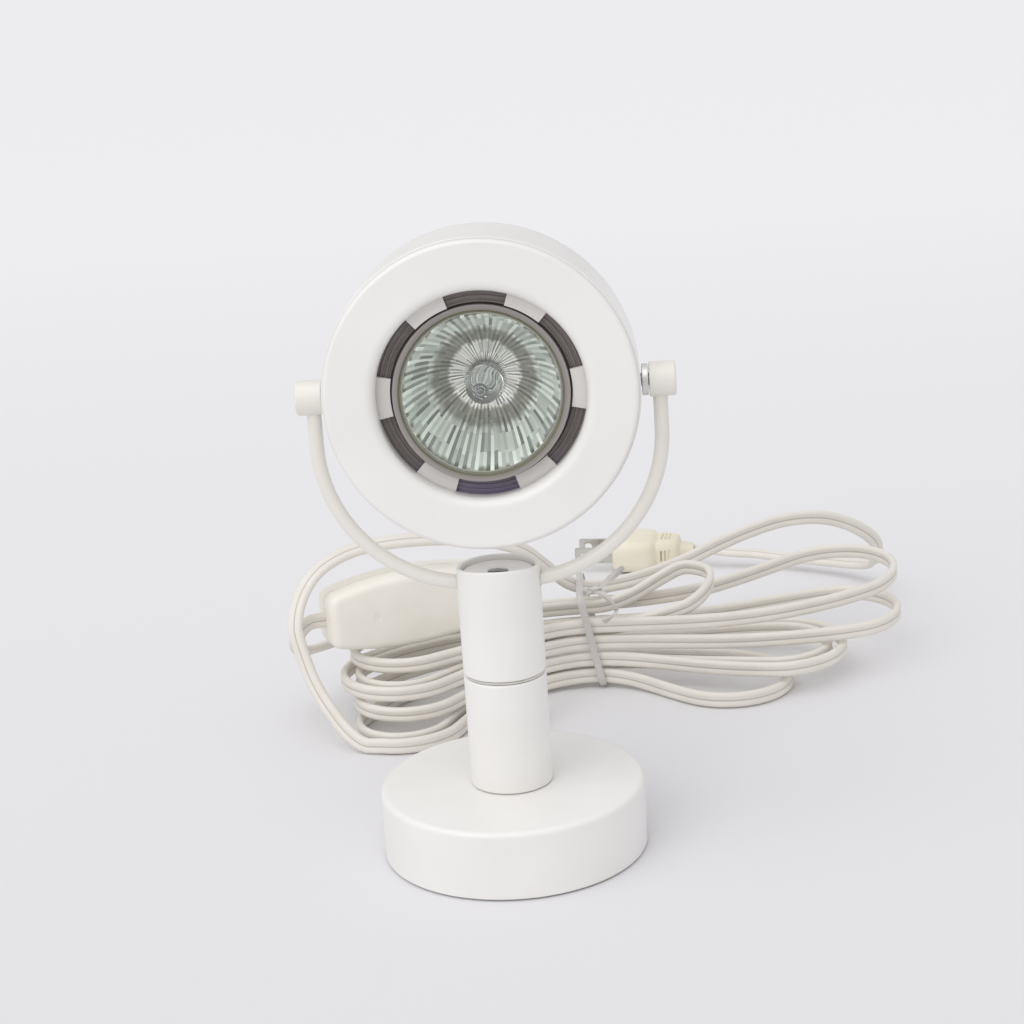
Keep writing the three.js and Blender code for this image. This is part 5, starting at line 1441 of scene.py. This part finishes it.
def cord_pvc():
    material, tree, shader = start_material("extruded_cord_pvc", {"IOR": PLASTIC_IOR})
    place = add_node(tree, "ShaderNodeUVMap", uv_map="along_and_round").outputs["UV"]
    parts = add_node(tree, "ShaderNodeSeparateXYZ", {"Vector": place})
    shifted = add_node(tree, "ShaderNodeMath",
                       {0: parts.outputs["Y"], 1: GROOVE_PLACE}, operation="SUBTRACT")
    folded = add_node(tree, "ShaderNodeMath",
                      {0: shifted.outputs["Value"], 1: 0.25}, operation="PINGPONG")
    groove = add_node(tree, "ShaderNodeMapRange", {
        "Value": folded.outputs["Value"], "From Min": 0.01, "From Max": 0.032})
    mottle = sized_pattern(tree, 11, 3.0, place, stretch=(1, 0.01, 1))
    plastic = add_node(tree, "ShaderNodeMix", {
        "Factor": mottle, 6: linear("#E4DFD5"), 7: linear("#F1EDE5")}, data_type="RGBA")
    # Painted shade: the colour is mixed to grey at the groove, for the shade in the crease.
    groove_shade_mix = add_node(tree, "ShaderNodeMix", {
        "Factor": groove.outputs["Result"], 6: linear("#C4BFB4"), 7: plastic.outputs[2]},
        data_type="RGBA")
    tree.links.new(groove_shade_mix.outputs[2], shader.inputs["Base Color"])
    drift_gloss(tree, shader, 0.38, 0.5, 6)
    raise_bump(tree, shader, 2.2, 0.02, 0.5)
    return material


cord_plastic = cord_pvc()
set_finish(cord_plastic, power_cord)

# %% [markdown]
# Glass. The bowl is pressed glass with a dichroic coating, a mirror. Its colour is painted in zones:
# greenish towards the rim, dull olive further in, and silver round the capsule. These zones are the
# coating's tint with painted reflection in it. The light that each flute catches is painted too: the
# colour is brightened and darkened from flute to flute by the angle round the bulb's axis, and in
# long streaks along each flute, as painted glints. The front disc and the capsule are clear.

# %% Make the bulb's finishes
# The ramp's colours are the coating's tint with painted reflection in them: the near-white silver
# round the capsule and the bright bands are painted light.
RIM_RAMP = [
    (0.0, "#5B5853"), (4.5, "#8A867E"), (6.0, "#F6F2EA"), (10.4, "#FBF8F1"), (11.4, "#8E8A7C"),
    (15.0, "#949586"), (16.2, "#E3E8E0"), (19.0, "#DCE6DC"), (22.2, "#E4ECE4"), (22.7, "#74725C"),
    (23.4, "#85836F"), (24.0, "#948E8A"), (25.4, "#A8A3A0"),
]
RAMP_REACH = 26
FLUTED_REACH = 22.4
FLUTE_ROW = 3.4


def dichroic_glass():
    material, tree, shader = start_material("dichroic_pressed_glass", {"Metallic": 0.2})
    place = add_node(tree, "ShaderNodeTexCoord")
    centred = add_node(tree, "ShaderNodeMapping", {
        "Vector": place.outputs["Object"], "Location": tuple(-value for value in mm(*HEAD_CENTRE))})
    parts = add_node(tree, "ShaderNodeSeparateXYZ", {"Vector": centred.outputs["Vector"]})
    flat = add_node(tree, "ShaderNodeCombineXYZ", {
        "X": parts.outputs["X"], "Y": parts.outputs["Z"]})
    radius = add_node(tree, "ShaderNodeVectorMath", {0: flat.outputs["Vector"]},
                      operation="LENGTH")
    angle = add_node(tree, "ShaderNodeMath",
                     {0: parts.outputs["Z"], 1: parts.outputs["X"]}, operation="ARCTAN2")
    sides = add_node(tree, "ShaderNodeMath",
                     {0: angle.outputs["Value"], 1: FLUTES / math.pi}, operation="MULTIPLY")
    side = add_node(tree, "ShaderNodeMath", {0: sides.outputs["Value"]}, operation="FLOOR")
    uneven = add_node(tree, "ShaderNodeTexWhiteNoise", {"W": side.outputs["Value"]},
                      noise_dimensions="1D")
    fluted = add_node(tree, "ShaderNodeMath",
                      {0: radius.outputs["Value"], 1: mm(FLUTED_REACH)}, operation="LESS_THAN")
    jitter = add_node(tree, "ShaderNodeMath", {
        0: uneven.outputs["Value"], 1: fluted.outputs["Value"]}, operation="MULTIPLY")
    shifted = add_node(tree, "ShaderNodeMath", {
        0: jitter.outputs["Value"], 1: mm(1.0), 2: radius.outputs["Value"]},
        operation="MULTIPLY_ADD")
    share = add_node(tree, "ShaderNodeMath",
                     {0: shifted.outputs["Value"], 1: 1 / mm(RAMP_REACH)}, operation="MULTIPLY")
    ramp = add_node(tree, "ShaderNodeValToRGB", {"Fac": share.outputs["Value"]})
    while len(ramp.color_ramp.elements) < len(RIM_RAMP):
        ramp.color_ramp.elements.new(1.0)
    for stop, (at, colour) in zip(ramp.color_ramp.elements, RIM_RAMP):
        stop.position = at / RAMP_REACH
        stop.color = linear(colour)
    # Painted reflection: every second flute is painted brighter, and each cell along a flute gets
    # its own painted glint, which can lift the colour above white.
    turns = add_node(tree, "ShaderNodeMath",
                     {0: side.outputs["Value"], 1: 2.0}, operation="FLOORED_MODULO")
    rows = add_node(tree, "ShaderNodeMath",
                    {0: shifted.outputs["Value"], 1: 1 / mm(FLUTE_ROW)}, operation="MULTIPLY")
    row = add_node(tree, "ShaderNodeMath", {0: rows.outputs["Value"]}, operation="FLOOR")
    cell = add_node(tree, "ShaderNodeCombineXYZ", {
        "X": side.outputs["Value"], "Y": row.outputs["Value"]})
    chance = add_node(tree, "ShaderNodeTexWhiteNoise", {"Vector": cell.outputs["Vector"]})
    painted_glint = add_node(tree, "ShaderNodeMapRange", {
        "Value": chance.outputs["Value"], "To Min": 0.2, "To Max": 1.15})
    painted_light_level = add_node(tree, "ShaderNodeMath", {
        0: turns.outputs["Value"], 1: 0.65, 2: painted_glint.outputs["Result"]},
        operation="MULTIPLY_ADD")
    share_lit = add_node(tree, "ShaderNodeMix", {
        "Factor": fluted.outputs["Value"], "A": 1.0, "B": painted_light_level.outputs["Value"]})
    lit = add_node(tree, "ShaderNodeVectorMath", {
        0: ramp.outputs["Color"], "Scale": share_lit.outputs["Result"]}, operation="SCALE")
    tree.links.new(lit.outputs["Vector"], shader.inputs["Base Color"])
    drift_gloss(tree, shader, 0.3, 0.36, 1.2)
    return material


def clear_quartz():
    material, tree, shader = start_material("clear_quartz_tube", {
        "Base Color": linear("#EEF4F6"), "Transmission Weight": 1.0, "IOR": 1.45})
    drift_gloss(tree, shader, 0.02, 0.04, 7)
    raise_bump(tree, shader, 6, 0.01, 0.3)
    return material


disc_glass = surface("clear_pressed_glass", {"Alpha": 0.06, "IOR": 1.5},
                     ("#EAF4EE", "#FFFFFF", 8), (0.03, 0.06, 7))
set_finish(dichroic_glass(), reflector)
set_finish(disc_glass, bulb_glass)
set_finish(clear_quartz(), capsule)

# %% [markdown]
# The seat is moulded phenolic resin, and it reflects a little. Its dark colour is painted shade for
# the gaps between the tabs. Low down, violet light that the coating lets through is painted into its
# colour, so it drifts to violet towards the bottom.

# %% Make the seat's finish
PAINTED_VIOLET_BELOW = 108
PLAIN_ABOVE = 124


def seat_resin():
    material, tree, shader = start_material("phenolic_resin_painted_shade")
    place = add_node(tree, "ShaderNodeTexCoord")
    parts = add_node(tree, "ShaderNodeSeparateXYZ", {"Vector": place.outputs["Object"]})
    height = add_node(tree, "ShaderNodeMapRange", {
        "Value": parts.outputs["Z"], "From Min": mm(PAINTED_VIOLET_BELOW), "From Max": mm(PLAIN_ABOVE)})
    # Painted shade and painted violet light: dark grey higher up, violet towards the bottom.
    painted_shade_and_violet = add_node(tree, "ShaderNodeMix", {
        "Factor": height.outputs["Result"], 6: linear("#857B9C"), 7: linear("#7E7774")},
        data_type="RGBA")
    worn = add_node(tree, "ShaderNodeMix", {
        "Factor": sized_pattern(tree, 5), 6: painted_shade_and_violet.outputs[2], 7: linear("#D8D4D0")},
        data_type="RGBA", blend_type="MULTIPLY")
    tree.links.new(worn.outputs[2], shader.inputs["Base Color"])
    drift_gloss(tree, shader, 0.25, 0.4, 3)
    return material


set_finish(seat_resin(), bulb_seat)

# %% [markdown]
# The rest of the lamp is inside or underneath, and keeps the shapes of the solid model. The foot
# is pressed wool felt, the weight and the rod are plain steel, the bulb's base is glazed ceramic
# and its holder is unglazed. Nuts, washers, screws and brackets are plated with zinc.

# %% Finish the pieces that are hardly seen
felt = surface("pressed_wool_felt", {"Sheen Weight": 0.3}, ("#3E3F41", "#55565A", 0.8),
               (0.9, 1.0, 2), {"size": 0.5, "height": 0.15, "strength": 0.9, "detail": 4.0})
plain_steel = metal("rolled_steel", "#6F7073", "#85878A", 0.5, 9, 0.8)
nickel_plate = metal("nickel_plated_brass", "#C9C6BD", "#D9D7D0", 0.3, 5, 0.7)
glazed_ceramic = moulded_plastic("glazed_ceramic", "#E9E6DC", "#F2EFE7", 0.25, 2.5, 0.01)
steatite = moulded_plastic("unglazed_steatite", "#DAD6CA", "#E5E1D6", 0.75, 0.4, 0.02)
FINISHED_NODES = [
    (felt, ["base_pad"]),
    (plain_steel, ["base_weight"]),
    (zinc_plate, ["base_plate", "stem_rod", "rod_nut", "rod_washer", "swivel_nut",
                  "clamp_screw_left", "clamp_screw_right", "pivot_nut_left", "pivot_nut_right",
                  "holder_bracket", "holder_screw_left", "holder_screw_right",
                  "switch_screw_left", "switch_screw_right"]),
    (turned_steel, ["swivel_spring", "pivot_pin_left", "pivot_pin_right", "rocker_pin"]),
    (nickel_plate, ["bulb_pin_left", "bulb_pin_right"]),
    (stamped_brass, ["switch_contact"]),
    (switch_abs, ["cord_clamp"]),
    (glazed_ceramic, ["bulb_base"]),
    (steatite, ["lamp_holder"]),
]
for finish, names in FINISHED_NODES:
    set_finish(finish, *[nodes[name] for name in names])
set_finish(nickel_plate, *blades)
set_finish(switch_abs, rocker)
set_finish(plug_pvc, plug)
set_finish(tie_pvc, tie_band)
print("nodes finished:", sum(len(names) for _, names in FINISHED_NODES))

# %% [markdown]
# ## The room
#
# The lamp stands on a plain pale floor in soft light, as in the photograph. The paper is painted a
# little darker near the front, a painted shade for the light falling off there.

# %% Lay the floor and light it
select_none()
bpy.ops.mesh.primitive_plane_add(size=30, location=(0, 0, 0))
floor = bpy.context.object
floor.name = "floor"
floor_paper, tree, shader = start_material("matt_white_paper", {
    "Roughness": 0.9, "Specular IOR Level": 0.1})
place = add_node(tree, "ShaderNodeTexCoord")
parts = add_node(tree, "ShaderNodeSeparateXYZ", {"Vector": place.outputs["Object"]})
# Painted shade: the paper's colour is darker near the front and lighter far away.
far = add_node(tree, "ShaderNodeMapRange", {
    "Value": parts.outputs["Y"], "From Min": -0.3, "From Max": 1.2})
paper = add_node(tree, "ShaderNodeMix", {
    "Factor": far.outputs["Result"], 6: linear("#E4E3E5"), 7: linear("#F4F3F5")},
    data_type="RGBA")
tree.links.new(paper.outputs[2], shader.inputs["Base Color"])
set_finish(floor_paper, floor)

world = bpy.data.worlds.new("studio")
bpy.context.scene.world = world
world.use_nodes = True
background = world.node_tree.nodes["Background"].inputs
background["Color"].default_value = linear("#F6F6F8")
background["Strength"].default_value = 0.73
bpy.context.scene.view_settings.view_transform = "Standard"


def add_light(name, kind, energy, place, aim, **settings):
    light = bpy.data.lights.new(name, kind)
    light.energy = energy
    for key, value in settings.items():
        setattr(light, key, value)
    lamp = bpy.data.objects.new(name, light)
    lamp.location = place
    lamp.rotation_euler = (Vector(aim) - Vector(place)).to_track_quat("-Z", "Y").to_euler()
    bpy.context.scene.collection.objects.link(lamp)


add_light("sky_light", "SUN", 1.0, (0, 0, 0), (0.35, 0.5, -1.0), angle=math.radians(70))
add_light("front_box", "AREA", 2.0, (-0.75, -1.2, 0.75), (0, 0, 0.1),
          shape="RECTANGLE", size=0.7, size_y=0.7)

# %% [markdown]
# ## Tie the pieces to the solid model
#
# Each piece rides on the body that carries it, and the nodes of the solid model that it stands for
# are hidden, so that the lamp can swivel and tilt with its dressing on.

# %% Say what each piece rides on and replaces
RIDES = [
    (base_cover, "stand", ["base_cover"], "white_paint"),
    (stem_lower, "stand", ["stem_lower"], "white_paint"),
    (swivel_washer, "stand", ["swivel_washer"], "steel"),
    (stem_upper, "turret", ["stem_upper"], "white_paint"),
    (yoke_clamp, "turret", ["yoke_clamp"], "white_paint"),
    (yoke_screw, "turret", ["yoke_screw"], "steel"),
    (yoke, "turret", ["yoke"], "ivory_paint"),
    (knob_left, "turret", ["knob_left"], "ivory_paint"),
    (knob_right, "turret", ["knob_right"], "ivory_paint"),
    (spacer_right, "turret", ["spacer_right"], "zinc"),
    (head_shell, "head", ["head_shell"], "white_paint"),
    (head_front, "head", ["head_front"], "white_paint"),
    (retainer, "head", ["retainer_ring"], "white_paint"),
    (reflector, "head", ["bulb_reflector"], "coated_glass"),
    (bulb_glass, "head", ["bulb_glass"], "clear_glass"),
    (capsule, "head", ["bulb_capsule"], "clear_glass"),
    (bulb_seat, "head", [], "zinc"),
    (cord_gland, "stand", ["cord_gland"], "cord_plastic"),
    (switch_front, "stand", ["switch_front"], "switch_plastic"),
    (switch_back, "stand", ["switch_back"], "switch_plastic"),
    (rocker, "rocker", ["switch_rocker"], "switch_plastic"),
    (plug, "stand", ["plug_body"], "plug_plastic"),
    (blades[0], "stand", ["plug_blade_left"], "brass"),
    (blades[1], "stand", ["plug_blade_right"], "brass"),
    (tie_band, "stand", ["twist_tie"], "tie_plastic"),
]
for piece, body, stood_for, finish_slot in RIDES:
    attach(piece, body)
    if stood_for:
        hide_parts(*stood_for)

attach(power_cord, "stand")
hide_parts("cord_lead", "cord_loop", "cord_hank", "cord_tail")
